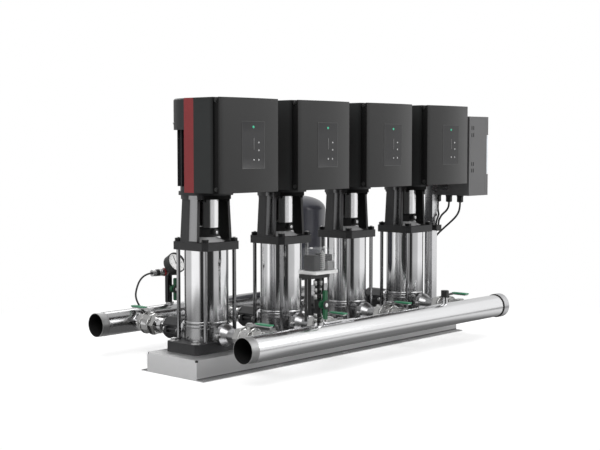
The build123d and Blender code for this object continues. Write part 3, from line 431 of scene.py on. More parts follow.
def driveShell():
    finish = Finish("driveShell")
    grain = finish.noise(700, detail=2.0)
    # Painted shade: the sides darken towards the groove
    paintedShade = ((driveSettings["darkFrom"] - finish.axis("Y")) / driveSettings["darkOver"]).clamped()
    shade = finish.mix(finish.noise(6), (0.018, 0.02, 0.02), (0.026, 0.028, 0.028))
    shade = finish.mix(paintedShade * 0.85, shade, 0.002)
    return finish.coat(shade, grain * 0.12 + 0.4 + paintedShade * 0.2, grain, 0.0001, Specular_IOR_Level=0.25)


def driveFront():
    finish = Finish("driveFront")
    grain = finish.noise(700, detail=2.0)
    across, ahead = finish.axis("X"), finish.axis("Y")
    groove = (ahead > driveSettings["grooveFront"]) * (ahead < driveSettings["grooveBack"])
    # Painted light: the front lightens to the right and towards the right-hand pumps, with painted shade at
    # its left edge and in the groove
    part = (fromPump(across) - driveSettings["left"]) / driveSettings["width"]
    edge = (part * 10 + 0.1).clamped()
    rise = part * part * ((across + 0.5).clamped() * 0.062 + 0.006)
    level = (finish.noise(5) * 0.006 + 0.021 + rise) * edge
    level = level * (1 - groove) + groove * 0.002
    return finish.coat(level, grain * 0.1 + 0.36 + groove * 0.4, grain, 0.00008, Specular_IOR_Level=0.3)


def clearPlastic(name, tint, least, most):
    finish = Finish(name)
    edge = finish.node("ShaderNodeLayerWeight", {}, {"Blend": 0.35}, output="Facing")
    return finish.set(Base_Color=tint, Roughness=finish.noise(30) * 0.05 + 0.03, IOR=1.45,
                      Specular_IOR_Level=0.2, Alpha=edge ** 2 * (most - least) + least)


# Seal cover: a pale, half-metal dome below, whose pale colour is a painted reflection of the white round the
# polished dome; black cast housing and rib above it
sealSettings = {"domeTop": 0.4015}


def sealCover():
    finish = Finish("sealCover")
    black = finish.axis("Z") > sealSettings["domeTop"]
    grain = finish.noise(260, detail=4.0)
    # Painted reflection: the dome is pale
    shade = finish.mix(black, (0.86, 0.86, 0.87), (0.016, 0.016, 0.017))
    return finish.coat(shade, black * 0.28 + 0.14 + grain * 0.06, grain * black, 0.0005,
                       Metallic=(1 - black) * 0.35)


# Guard: stainless sheet with rows of small holes
guardSettings = {"pitch": 0.0065, "hole": 0.72}


def guardSheet():
    finish = Finish("guardSheet")
    lines = finish.noise(50, (1, 1, 0.1))
    tall, wide = (finish.axis(letter) * (2 * pi / guardSettings["pitch"]) for letter in "ZX")
    holes = ((tall.sine() * wide.sine() - guardSettings["hole"]) * 6).clamped()
    shade = finish.mix(holes, (0.86, 0.86, 0.87), 0.4)
    return finish.coat(shade, lines * 0.06 + 0.09 + holes * 0.2, 1 - holes, 0.0002, 0.4, Metallic=1.0)


# Gauge stand: dark fittings, and a painted highlight as a bright strip on their left side
standSettings = {"stripTo": -0.3395}


def standParts():
    finish = Finish("standParts")
    highlightStrip = finish.axis("X") < standSettings["stripTo"]
    grain = finish.noise(240)
    # Painted highlight: the left strip is light
    shade = finish.mix(highlightStrip, (0.05, 0.05, 0.052), (0.6, 0.6, 0.61))
    return finish.coat(shade, grain * 0.12 + 0.24, grain, 0.0002, 0.4, Metallic=1.0)


def glowing(name, shade, strength):
    finish = Finish(name)
    haze = finish.noise(300)
    return finish.set(Base_Color=finish.mix(haze, shade, tuple(part * 0.8 for part in shade)),
                      Emission_Color=shade, Emission_Strength=strength, Roughness=haze * 0.1 + 0.2)


finishes = {
    "castCoat": paint("castCoat", (0.012, 0.012, 0.013), (0.026, 0.026, 0.028), 18, 260, 0.36, 0.2, 0.0006,
                      detail=4.0),
    "cabinet": paint("cabinetPaint", (0.115, 0.115, 0.117), (0.145, 0.145, 0.147), 6, 420, 0.42,
                     lift=0.00015),
    "tank": paint("tankPaint", (0.05, 0.052, 0.072), (0.065, 0.068, 0.09), 8, 200, 0.36, 0.08, strength=0.4,
                  Coat_Roughness=0.12, Coat_Weight=0.5),
    "stoolCoat": stoolCoat(), "framePaint": framePaint(), "sleeve": sleeveSteel(), "standParts": standParts(),
    "guard": guardSheet(), "sealCover": sealCover(), "driveShell": driveShell(), "driveFront": driveFront(),
    "polished": steel("polishedSteel", (0.8, 0.8, 0.81), 0.07, (1, 1, 0.05), spread=0.06),
    "rod": steel("rodSteel", (0.34, 0.34, 0.345), 0.1, (1, 1, 0.05), spread=0.06),
    # A darker copy of the sleeve steel for the pump chambers and sleeve beads: painted shade
    "chamber": steel("chamberSteel", (0.46, 0.46, 0.465), 0.16, (1, 1, 0.2), spread=0.1),
    "pipeSteel": steel("pipeSteel", (0.4, 0.4, 0.405), 0.24, (1, 0.1, 1)),
    "satin": steel("satinSteel", (0.74, 0.74, 0.75), 0.22, (1, 0.1, 1)),
    "bolt": steel("boltSteel", (0.58, 0.58, 0.58), 0.28, (1, 1, 1), 300),
    "darkBolt": steel("blackenedSteel", (0.035, 0.035, 0.036), 0.35, (1, 1, 1), 300),
    "nickel": steel("nickelledBrass", (0.53, 0.528, 0.52), 0.1, (1, 1, 1), 200, 0.1, 0.0002),
    "cap": steel("cappedSteel", (0.6, 0.6, 0.61), 0.26, (1, 0.2, 0.2), 120),
    # The same manifold steel at two levels: the discharge pipe's lower level is painted shade
    "suctionPipe": manifoldSteel("suctionPipe", -0.616, -0.3022, 0.92),
    "dischargePipe": manifoldSteel("dischargePipe", -0.604, 0.3676, 0.48),
    "black": plastic("blackPlastic", 0.01, 0.02, 0.4),
    "motor": plastic("motorPaint", (0.007, 0.007, 0.008), (0.013, 0.013, 0.015), 0.4, 500, 0.1),
    "red": plastic("redSpacer", (0.2, 0.012, 0.015), (0.24, 0.017, 0.02), 0.42),
    "tapGreen": plastic("tapHandle", (0.004, 0.07, 0.025), (0.008, 0.1, 0.04), 0.34, 600),
    "green": plastic("greenGrip", (0.02, 0.2, 0.09), (0.04, 0.3, 0.15), 0.34, 600),
    "white": plastic("whitePlate", 0.7, (0.8, 0.8, 0.79), 0.4),
    "darkWorks": plastic("switchWorks", (0.008, 0.008, 0.009), (0.014, 0.014, 0.015), 0.5),
    "greyBlock": plastic("greyTerminal", 0.2, 0.27, 0.45),
    "zinc": plastic("zincPlate", (0.62, 0.62, 0.61), (0.76, 0.76, 0.75), 0.3),
    "rubber": plastic("ringRubber", 0.01, 0.016, 0.6, 400, 0.0),
    "button": plastic("buttonCap", 0.42, 0.55, 0.35),
    "statusBar": plastic("statusBar", 0.12, 0.15, 0.3),
    "grille": plastic("fanGrille", (0.02, 0.02, 0.021), (0.032, 0.032, 0.034), 0.38),
    "light": glowing("greenLight", (0.06, 0.42, 0.26), 0.45),
    # The dial glows though it is no lamp: painted light
    "dial": glowing("dialFace", (0.9, 0.9, 0.89), 0.44),
    "hood": clearPlastic("clearHood", (0.85, 0.87, 0.88), 0.015, 0.3),
    "glass": clearPlastic("gaugeGlass", (0.85, 0.88, 0.9), 0.02, 0.2),
}

nodeFinishes = {
    "framePaint": "base_frame", "castCoat": "pump_feet check_valves", "stoolCoat": "motor_stools",
    "bolt": "foot_bolts pressure_transmitter", "rod": "staybolts", "darkBolt": "staybolt_nuts",
    "sleeve": "pump_sleeves", "chamber": "pump_bases", "sealCover": "seal_covers", "guard": "coupling_guards",
    "motor": "motor_stators fan_covers", "red": "drive_spacers", "driveShell": "drive_housings",
    "driveFront": "drive_covers", "pipeSteel": "suction_pipes", "satin": "discharge_clamps cabinet_post",
    "polished": "discharge_cones", "nickel": "union_nuts valve_bodies", "suctionPipe": "suction_manifold",
    "dischargePipe": "discharge_manifold", "rubber": "seal_rings", "cap": "end_caps",
    "cabinet": "cabinet_box cabinet_door", "standParts": "gauge_stand", "glass": "gauge_glass",
    "white": "switch_base", "hood": "switch_cover", "darkWorks": "switch_works",
    "tapGreen": "gauge_tap_handle switch_tap_handle",
    "black": "vent_plugs socket_plug gauge_case gauge_pointer switch_stand cabinet_glands cable_clip",
}
for number in range(1, 5):
    nodeFinishes["bolt"] += f" rotor_{number} suction_lever_{number} discharge_lever_{number}"
for finish, names in nodeFinishes.items():
    for name in names.split():
        for slot in nodes[name].material_slots:
            slot.material = finishes[finish]
print("finishes set on the nodes")


# Modelling helpers
def choose(*pieces):
    bpy.ops.object.select_all(action="DESELECT")
    for piece in pieces:
        piece.select_set(True)
    bpy.context.view_layer.objects.active = pieces[0]


def joined(*pieces):
    choose(*pieces)
    if len(pieces) > 1:
        bpy.ops.object.join()
    return pieces[0]


def startEdit(piece, everything=True):
    choose(piece)
    bpy.ops.object.mode_set(mode="EDIT")
    if everything:
        bpy.ops.mesh.select_all(action="SELECT")


def endEdit():
    bpy.ops.object.mode_set(mode="OBJECT")


# Sets a border off on the faces that pass the test, and pushes their middles along their normals
def pressFaces(piece, test, border, push, skin=0.00002):
    for part in (*piece.data.vertices, *piece.data.edges):
        part.select = False
    for face in piece.data.polygons:
        face.select = test(face)
    startEdit(piece, False)
    bpy.ops.mesh.select_mode(type="FACE")
    bpy.ops.mesh.inset(thickness=border, depth=0)
    bpy.ops.mesh.inset(thickness=skin, depth=push)
    endEdit()
    return piece


def bevelled(piece, width, segments=2, angle=30):
    choose(piece)
    bevel = piece.modifiers.new("edge", "BEVEL")
    bevel.width, bevel.segments = width, segments
    bevel.limit_method, bevel.angle_limit = "ANGLE", radians(angle)
    bpy.ops.object.modifier_apply(modifier=bevel.name)
    return piece


def placed(piece, spot=(0, 0, 0), turn=(0, 0, 0)):
    grid = Matrix.Translation(spot)
    for angle, axis in zip(reversed(turn), "ZYX"):
        grid = grid @ Matrix.Rotation(angle, 4, axis)
    piece.data.transform(grid @ piece.matrix_world)
    piece.matrix_world = Matrix.Identity(4)
    return piece


# Copies a pattern to every place, given as (x, y, z) or (x, y, z, turn), and removes the pattern
def spread(pattern, places):
    pieces = [placed(linked(pattern.name, pattern.data.copy()), place[:3], *place[3:]) for place in places]
    bpy.data.objects.remove(pattern)
    return pieces


# The same places at every pump, where x counts from the pump's axis
def atPumps(*places):
    return [(x + across, *rest) for x in pumpPlaces for across, *rest in places]


# One piece for the frame: joined, smooth but for its edges, with its finish and body
def finished(name, pieces, finish, body="pump_set"):
    piece = joined(*pieces)
    piece.name = piece.data.name = name
    bpy.ops.object.shade_smooth_by_angle(angle=radians(35))
    piece.data.materials.clear()
    piece.data.materials.append(finishes[finish])
    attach(piece, body)
    return piece


# A turned piece: a profile of (radius, height) in millimetres, spun about Z
def turned(name, profile, steps=48):
    mesh = bpy.data.meshes.new(name)
    points = [(radius / 1000, 0, height / 1000) for radius, height in profile]
    mesh.from_pydata(points, [(n, n + 1) for n in range(len(points) - 1)], [])
    piece = linked(name, mesh)
    startEdit(piece)
    bpy.ops.mesh.spin(steps=steps, angle=2 * pi, center=(0, 0, 0), axis=(0, 0, 1))
    bpy.ops.mesh.select_all(action="SELECT")
    bpy.ops.mesh.remove_doubles(threshold=0.00001)
    bpy.ops.mesh.normals_make_consistent(inside=False)
    endEdit()
    return piece


def turnedPiece(name, profile, steps, spot, turn, finish, body="pump_set"):
    return finished(name, [placed(turned(name, profile, steps), spot, turn)], finish, body)


def cylinder(name, radius, length, corners, edge):
    bpy.ops.mesh.primitive_cylinder_add(vertices=corners, radius=radius, depth=length)
    bpy.context.object.name = name
    return bevelled(placed(bpy.context.object, (0, 0, length / 2)), edge)


def block(name, size, edge):
    bpy.ops.mesh.primitive_cube_add(size=1)
    bpy.context.object.name = name
    bpy.context.object.scale = size
    bpy.ops.object.transform_apply(scale=True)
    return bevelled(bpy.context.object, edge)


# A hexagon head on its washer, in parts of the sizes across the flats and of the head
boltSettings = {"corners": 1.732, "edge": 0.05, "washer": 0.22, "washerEdge": 0.06}


def hexBolt(name, across, head, washer):
    thick = head * boltSettings["washer"]
    piece = cylinder(name, across / boltSettings["corners"], head, 6, across * boltSettings["edge"])
    disc = cylinder(name, washer, thick, 28, head * boltSettings["washerEdge"])
    return joined(placed(piece, (0, 0, thick)), disc)


def socketScrew(name, radius, head):
    screw = cylinder(name, radius, head, 24, radius * 0.12)
    return pressFaces(screw, lambda face: face.normal.z > 0.99 and face.center.z > head * 0.9,
                      radius * 0.45, -head * 0.5)


def wireShape(name, points, radius):
    holder = curveThrough(name, points, radius, 3)
    mesh = bpy.data.meshes.new_from_object(holder.evaluated_get(bpy.context.evaluated_depsgraph_get()))
    bpy.data.objects.remove(holder)
    return linked(name, mesh)


# Turns that aim a piece's Z axis
upright, front, back = (0, 0, 0), (pi / 2, 0, 0), (-pi / 2, 0, 0)
left, right = (0, -pi / 2, 0), (0, pi / 2, 0)
sides = (-1, 1)
rowY, portHeight = rowSettings["y"], rowSettings["port"]

# Fasteners on every pump: threads over the nuts, washers, flange bolts, vent screw
fastenerSettings = {"staybolt": 0.0592, "foot": (0.088, 0.048, 0.0909), "flange": (0.0655, 0.5152),
                    "vent": (-0.044, 0.416)}


def makeFasteners():
    def corners(alongX, alongY, high):
        return atPumps(*((x * alongX, rowY + y * alongY, high) for x in sides for y in sides))
    end = turned("stayboltEnd", [(0, 12.8), (4.2, 12.8), (5, 11.9), (5, 0)], 24)
    pad = turned("footWasher", [(6, 2.4), (13.8, 2.4), (14.5, 1.6), (14.5, 0)], 32)
    dome = turned("footBoltTop", [(0, 10.5), (4, 10.4), (7.5, 9.6), (8.5, 8.5)], 24)
    staybolt, footX, footY, footTop = fastenerSettings["staybolt"], *fastenerSettings["foot"]
    feet = corners(footX, footY, footTop)
    ends = spread(end, corners(staybolt, staybolt, rowSettings["headTop"]))
    finished("staybolt_ends", ends, "bolt")
    finished("foot_washers", spread(pad, feet) + spread(dome, feet), "bolt")


def makeFlangeBolts():
    bolt = hexBolt("flangeBolt", 0.011, 0.006, 0.0075)
    places = []
    radius, low = fastenerSettings["flange"]
    for turn in map(radians, (45, 135, 225, 315)):
        places.append((radius * cos(turn), rowY + radius * sin(turn), low, (pi, 0, 0)))
    finished("flange_bolts", spread(bolt, atPumps(*places)), "darkBolt")


def makeVentScrews():
    ahead, high = fastenerSettings["vent"]
    places = atPumps((0, rowY + ahead, high, front))
    rim = turned("ventRim", [(5.5, 1.2), (7.5, 2), (9.8, 1.2), (10.4, 0)], 32)
    finished("vent_screws", spread(socketScrew("ventScrew", 0.0045, 0.003), places), "polished")
    finished("vent_rims", spread(rim, places), "black")


# Rolled bead where the sleeve meets the chamber
def makeSleeveBeads():
    bead = turned("sleeveBead", [(66.4, 151), (67.2, 149.5), (67.6, 146), (67.2, 142.5), (66.4, 141.2),
                                 (66.4, 139.2), (68.4, 138.6), (68.8, 135), (68.4, 132), (67.9, 130.8)], 64)
    finished("sleeve_beads", spread(bead, atPumps((0, rowY, 0))), "chamber")


makeFasteners()
makeFlangeBolts()
makeVentScrews()
makeSleeveBeads()
print("pump fasteners and beads made")

# Drive boxes: control panel on the bowed front, its buttons, light and bar, and cover screws
panelSettings = {"x": (-0.038, 0.0556), "z": (0.6077, 0.7445), "bow": 0.9478, "front": -0.1934,
                 "middle": -0.0004, "lift": 0.0006, "line": 0.0011, "sink": 0.0003,
                 "light": (0.0082, 0.7279), "bar": (0.0099, 0.679)}
buttonSpots = [(0.0304, 0.6833), (0.0303, 0.6607), (0.0096, 0.6329), (0.0301, 0.6327)]


def panelFoil():
    finish = Finish("panelFoil")
    high = finish.axis("Z")
    grain = finish.noise(800, detail=2.0)
    (west, east), (low, top), line = panelSettings["x"], panelSettings["z"], panelSettings["line"]
    half = (east - west) / 2 - line
    edge = abs(fromPump(finish.axis("X")) - (west + east) / 2)
    border = (edge > half) * (edge < half + 2 * line)
    border = border + (high > top - line) + (high < low + line)
    shade = finish.mix(border.clamped(), (0.012, 0.012, 0.013), 0.07)
    return finish.coat(shade, grain * 0.08 + 0.3, grain, 0.00005, 0.4)


def bowed(x):
    across, bow = x - panelSettings["middle"], panelSettings["bow"]
    return panelSettings["front"] + bow - (bow ** 2 - across ** 2) ** 0.5


def panelPlate():
    (west, east), (low, top) = panelSettings["x"], panelSettings["z"]
    bpy.ops.mesh.primitive_grid_add(x_subdivisions=16, y_subdivisions=4, size=1)
    plate = bpy.context.object
    plate.scale = (east - west, top - low, 1)
    bpy.ops.object.transform_apply(scale=True)
    placed(plate, ((west + east) / 2, 0, (low + top) / 2), front)
    startEdit(plate)
    bpy.ops.mesh.inset(thickness=panelSettings["line"], use_boundary=True)
    endEdit()
    inner = {n for face in plate.data.polygons if face.select for n in face.vertices}
    for vertex in plate.data.vertices:
        sink = panelSettings["sink"] if vertex.index in inner else 0
        vertex.co.y = bowed(vertex.co.x) - panelSettings["lift"] + sink
    return plate


def makePanels():
    def onPanel(across, high, out, turn=upright):
        return (across, rowY + bowed(across) - out, high, turn)
    button = turned("button", [(0, 1.6), (1.6, 1.5), (2.4, 1), (2.7, 0)], 24)
    lens = turned("lens", [(0, 1), (1.4, 0.9), (2.2, 0.5), (2.5, 0)], 24)
    ring = turned("lensRing", [(2.7, 0), (2.9, 0.8), (3.6, 0.8), (3.8, 0)], 28)
    bar = block("statusBar", (0.0024, 0.0008, 0.034), 0.0003)
    sunk = panelSettings["lift"] - panelSettings["sink"]
    buttons = atPumps(*(onPanel(*spot, sunk, front) for spot in buttonSpots))
    lights = atPumps(onPanel(*panelSettings["light"], sunk, front))
    bars = atPumps(onPanel(*panelSettings["bar"], panelSettings["lift"]))
    finished("panel_plates", spread(panelPlate(), atPumps((0, rowY, 0))), "panel")
    finished("panel_buttons", spread(button, buttons), "button")
    finished("panel_lights", spread(lens, lights) + spread(ring, lights), "light")
    finished("panel_bars", spread(bar, bars), "statusBar")


# Screws in the groove on both sides of every cover
screwSettings = {"sides": ((-0.1194, left), (0.1159, right)), "y": -0.1729, "heights": (0.55, 0.802)}


def makeCoverScrews():
    cup = turned("screwCup", [(5.5, 0), (5.8, 1), (6.8, 1), (7.2, 0)], 32)
    places = atPumps(*((x, rowY + screwSettings["y"], high, turn) for high in screwSettings["heights"]
                       for x, turn in screwSettings["sides"]))
    screws = spread(socketScrew("coverScrew", 0.005, 0.004), places)
    finished("cover_screws", screws, "black")
    finished("cover_screw_cups", spread(cup, places), "black")


finishes["panel"] = panelFoil()
makePanels()
makeCoverScrews()
print("drive panels made")

# Grips on the ball valve levers, each a dipped sleeve that narrows to the lever and swells in the middle
gripSettings = {"width": 0.0185, "length": 0.062, "thick": 0.0044, "edge": 0.0012, "start": 0.028,
                "height": 0.0479, "narrow": 0.82, "widen": 2.2, "swell": 1.12, "from": 0.3, "to": 0.75}
gripRows = {"suction": (-0.172, (0, 0, pi)), "discharge": (0.271, upright)}


def gripShape():
    width, length, thick, edge, start, height, narrow, widen, swell, low, high = gripSettings.values()
    grip = block("grip", (width, length, thick), edge)
    startEdit(grip)
    bpy.ops.mesh.subdivide(number_cuts=2)
    endEdit()
    for vertex in grip.data.vertices:
        along = vertex.co.y / length + 0.5
        vertex.co.x *= narrow + (1 - narrow) * min(1, along * widen)
        vertex.co.z *= swell if low < along < high else 1
    return placed(bevelled(grip, edge, 3, 40), (0, start + length / 2, height))


def makeGrips():
    names = [(side, number) for number in range(1, 5) for side in gripRows]
    places = atPumps(*((0, y, portHeight, turn) for y, turn in gripRows.values()))
    for (side, number), grip in zip(names, spread(gripShape(), places)):
        finished(f"{side}_grip_{number}", [grip], "green", f"{side}_lever_{number}")


# Collars on the valves and unions, and bolts on the port ears and non-return valves
branchSettings = {"collars": (-0.1295, -0.2345, 0.2285), "ribs": (-0.152, -0.187, 0.2505, 0.2855),
                  "welds": (-0.2645, 0.3302),
                  "bolts": ((0.038, -0.071, front), (0.039, 0.155, back), (0.039, 0.101, front))}


def makeBranchDetails():
    collar = turned("collar", [(21.5, 0), (26.2, 0.3), (27, 1.2), (27, 3.2), (26.2, 4), (21.5, 4.2)])
    rib = turned("valveRib", [(31.2, 0), (33.8, 0.8), (34.5, 2.2), (34.5, 5.2), (33.8, 6.6), (31.2, 7.4)])
    weld = turned("weldBead", [(23.8, -3.5), (25.2, -2), (25.8, 0), (25.4, 2), (23.8, 3.5)])
    bolt = hexBolt("portBolt", 0.012, 0.0075, 0.0088)
    for name, piece in (("union_collars", collar), ("valve_ribs", rib)):
        places = [(0, y, portHeight, front if y < 0 else back) for y in branchSettings[name.split("_")[1]]]
        finished(name, spread(piece, atPumps(*places)), "nickel")
    welds = [(0, y, portHeight, front) for y in branchSettings["welds"]]
    finished("stub_welds", spread(weld, atPumps(*welds)), "satin")
    bolts = [(side * x, y, portHeight, turn) for side in sides for x, y, turn in branchSettings["bolts"]]
    finished("port_bolts", spread(bolt, atPumps(*bolts)), "bolt")


# Diaphragm tank, in millimetres: a deep-drawn shell in two halves with a rolled seam
tankSettings = {"spot": (0.275, 0.3676, 0), "low": 178, "high": 491, "radius": 119.5, "seam": 360,
                "topDome": 52, "bottomDome": 50, "mouth": 12, "flatness": 0.82}


def makeTank():
    spot, low, high, radius, seam, topDome, bottomDome, mouth, flatness = tankSettings.values()
    turns = [radians(step * 7.5) for step in range(13)]
    profile = [(0.1, high)]
    profile += [(radius * sin(turn) ** flatness, high - topDome * (1 - cos(turn))) for turn in turns[1:]]
    profile += [(radius, seam + 6), (radius + 0.4, seam + 4), (radius + 0.4, seam - 4), (radius, seam - 6)]
    profile += [(mouth + (radius - mouth) * sin(turn) ** flatness, low + bottomDome * (1 - cos(turn)))
                for turn in reversed(turns)]
    profile.append((0.1, low))
    shell = turnedPiece("diaphragm_tank_shell", profile, 72, spot, upright, "tank")
    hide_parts("diaphragm_tank")
    foot = [(20, low - 0.5), (20, low + 4), (16, low + 6), (14.5, low + 9)]
    turnedPiece("tank_foot", foot, 36, spot, upright, "bolt")


# Pressure gauge: bezel, dial with marks and numbers, and a cap on the pointer
gaugeSettings = {"place": (-0.325, 0.33, 0.291), "turn": (radians(60), 0, 0), "marks": 30, "perNumber": 5,
                 "from": 225, "sweep": 270, "face": -0.00788, "long": 0.0262, "short": 0.0272,
                 "numbers": 0.0196, "figure": 0.0068}
markSizes = ((0.0045, 0.0013, 0.0001), (0.0025, 0.0007, 0.0001))


def dialPlaces(steps, radius):
    places = []
    for step in steps:
        turn = radians(gaugeSettings["from"] - gaugeSettings["sweep"] * step / gaugeSettings["marks"])
        places.append((radius * cos(turn), radius * sin(turn), gaugeSettings["face"], (0, 0, turn)))
    return places


def makeGauge():
    place, turn = gaugeSettings["place"], gaugeSettings["turn"]
    bezel = [(31.8, 0), (32.2, 0.6), (34, 0.8), (34.9, 0.2), (35.2, -2), (35.2, -7), (34.6, -8.6),
             (33.8, -8.8)]
    turnedPiece("gauge_bezel", bezel, 64, place, turn, "black")
    dial = [(0.1, -7.9), (30.6, -7.9), (31.2, -7.6), (31.6, -6.6)]
    turnedPiece("gauge_dial", dial, 64, place, turn, "dial")
    steps = range(gaugeSettings["marks"] + 1)
    numbered = steps[::gaugeSettings["perNumber"]]
    between = [step for step in steps if step not in numbered]
    long, short = (block("mark", size, 0.00002) for size in markSizes)
    marks = spread(long, dialPlaces(numbered, gaugeSettings["long"]))
    marks += spread(short, dialPlaces(between, gaugeSettings["short"]))
    for count, spot in enumerate(dialPlaces(numbered, gaugeSettings["numbers"])):
        bpy.ops.object.text_add()
        number = bpy.context.object.data
        number.body = str(count * 2)
        number.size, number.extrude = gaugeSettings["figure"], 0.00004
        number.align_x, number.align_y = "CENTER", "CENTER"
        bpy.ops.object.convert(target="MESH")
        marks.append(placed(bpy.context.object, spot[:3]))
    finished("gauge_marks", [placed(mark, place, turn) for mark in marks], "black")
    cap = [(0.1, -5.2), (1.8, -5.4), (3, -6), (3.2, -6.6)]
    turnedPiece("gauge_pointer_cap", cap, 24, place, turn, "bolt", "gauge_pointer")


# Transmitter: red ring, hexagon and its plug with the cable nut, each with its place along the line
transmitterLine = (0.3676, 0.257)
transmitterSettings = {
    "ring": (-0.3452, "red", "red_plastic", [
        (11.8, 0), (13.2, 0.8), (13.6, 2), (13.6, 7.5), (13.2, 9), (11.8, 9.8)]),
    "body": (-0.3565, "bolt", "bolt_steel", [
        (11.2, 0), (11.8, 0.8), (11.8, 8.5), (11.2, 9.2), (11.2, 11.8), (11.8, 12.6), (11.8, 16.5),
        (11.2, 17.2)]),
    "sleeve": (-0.3735, "black", "black_plastic", [
        (11.2, 0), (11.4, 13), (10.8, 14.5), (9, 26.8), (6.2, 27.4), (3.1, 29.2)]),
}


def makeTransmitter():
    for name, (x, finish, slot, profile) in transmitterSettings.items():
        turnedPiece("transmitter_" + name, profile, 40, (x, *transmitterLine), left, finish)


# Taps: a ring round each hub and a white button, each with its place behind the face
tapSpots = {"gauge_tap": (-0.325, 0.3353, 0.2), "switch_tap": (-0.335, -0.3345, 0.211)}
tapSettings = {
    "ring": (0, 40, "black", "black_plastic", [(5.5, 0), (6.2, 2.2), (10.5, 3), (12.8, 2.2), (13.4, 0)]),
    "button": (0, 32, "white", "white_plastic", [(0.1, 3.4), (4, 3.2), (5.6, 2.4), (6, 0)]),
    "hub": (0.013, 32, "tapGreen", "green_grip", [(10.4, -8), (11.8, -7), (12.2, 0), (11.8, 4), (10.4, 4.6)]),
}


def makeTaps():
    for tap, (x, face, z) in tapSpots.items():
        for name, (behind, steps, finish, slot, profile) in tapSettings.items():
            spot = (x, face + behind, z)
            turnedPiece(f"{tap}_{name}", profile, steps, spot, front, finish, tap + "_handle")


# Pressure switch: springs on rods, terminal, hood rim and screws, fittings, strip holes, and a small tube
switchSettings = {"place": (-0.335, -0.3022, 0.311), "springs": (-0.0182, 0.017), "springTops": (0.05, 0.036),
                  "backRod": -0.014, "screws": (0.03, 0.0644)}
# Low end, height and radius of every fitting
switchFittings = ((0.1556, 0.014, 0.0152), (0.172, 0.012, 0.0135), (0.2245, 0.016, 0.014),
                  (0.246, 0.012, 0.0125), (0.2655, 0.015, 0.0145))
stripSettings = {"sides": ((-0.3738, left), (-0.3702, right)), "low": 0.188, "pitch": 0.012, "holes": 8}
tubeRoute = [(-326.5, -310.5, 178), (-326.2, -311, 166), (-322, -311.8, 156.5), (-310, -312.5, 153.5),
             (-290, -312.8, 152.9), (-250, -312.2, 153.3), (-210, -313, 152.9), (-181, -312.5, 152.5)]


def springShape(name, radius, wire, turns, low, high):
    points = []
    reach, steps = radius * 1.06, turns * 8
    for step in range(steps + 1):
        turn = 2 * pi * step / 8
        points.append((reach * cos(turn), reach * sin(turn), low + (high - low) * step / steps))
    return wireShape(name, points, wire)


def makeSwitchWorks():
    x, y, floor = switchSettings["place"]
    ahead, behind = (y + away for away in switchSettings["springs"])
    frontTop, backTop = (floor + top for top in switchSettings["springTops"])
    main = placed(springShape("main_spring", 0.0071, 0.0011, 8, floor + 0.003, frontTop), (x, ahead, 0))
    side = placed(springShape("small_spring", 0.0046, 0.0008, 9, floor + 0.004, backTop), (x, behind, 0))
    finished("switch_springs", [main, side], "zinc")
    rods = spread(cylinder("rod", 0.0016, 0.058, 16, 0.0003),
                  [(x, ahead, floor), (x, behind, floor + switchSettings["backRod"])])
    rods += spread(cylinder("nut", 0.0042, 0.004, 6, 0.0003), [(x, ahead, frontTop), (x, behind, backTop)])
    finished("switch_rods", rods, "bolt")
    terminal = block("terminal", (0.03, 0.022, 0.026), 0.0012)
    pressFaces(terminal, lambda face: face.normal.y < -0.99, 0.003, -0.002)
    placed(terminal, (x + 0.028, y - 0.0165, floor + 0.0135))
    finished("switch_terminal", [terminal], "greyBlock")


def makeSwitchCase():
    x, y, floor = switchSettings["place"]
    rim = block("rim", (0.0946, 0.0696, 0.003), 0.0006)
    pressFaces(rim, lambda face: abs(face.normal.z) > 0.99, 0.0024, -0.0001)
    finished("hood_rim", [placed(rim, (x, y, floor + 0.0014))], "hood")
    cap = turned("cap", [(0.1, 4.2), (3.8, 4), (4.6, 3), (4.6, 0)], 24)
    away, rise = switchSettings["screws"]
    caps = spread(cap, [(x + side * away, y, floor + rise) for side in sides])
    finished("hood_screws", caps, "white")
    nuts = [placed(cylinder("nut", wide, tall, 6, 0.0008), (x, y, low)) for low, tall, wide in switchFittings]
    finished("switch_fittings", nuts, "nickel")
    hole = turned("hole", [(0.1, 0), (2.6, 0), (3.2, 0.3), (3.6, 0)], 20)
    holes = [(edge, y, stripSettings["low"] + step * stripSettings["pitch"], turn)
             for step in range(stripSettings["holes"]) for edge, turn in stripSettings["sides"]]
    finished("strip_holes", spread(hole, holes), "black")
    tube = wireShape("impulse_tube", inMetres(tubeRoute), 0.0024)
    finished("impulse_tube", [tube], "polished")


# Cabinet: display behind its recess, hinges, lock, air vents, gland rings and the clip's strap
cabinetSettings = {"glassFrom": 0.7632, "display": (0.7604, -0.031, 0.64), "lock": (0.7653, -0.132, 0.531),
                   "hinges": ((0.7376, 0.1596, 0.53), (0.7376, 0.1596, 0.68)), "ventsX": (0.661, 0.672),
                   "ventsY": -0.1552, "vents": (0.711, 0.736, 0.583, 0.607), "clip": (0.626, -0.0376, 0.372),
                   "glands": ((0.675, 0.003, 0.4915), (0.675, -0.0465, 0.4915), (0.675, -0.096, 0.4915))}


def displayGlass():
    finish = Finish("displayGlass")
    haze = finish.noise(40)
    finish.set(Coat_Weight=0.6, Coat_Roughness=0.05)
    shade = finish.mix(haze, (0.4, 0.55, 0.66), (0.5, 0.64, 0.74))
    shade = finish.mix(finish.axis("X") > cabinetSettings["glassFrom"], (0.8, 0.85, 0.9), shade)
    return finish.set(Base_Color=shade, Roughness=haze * 0.1 + 0.15)


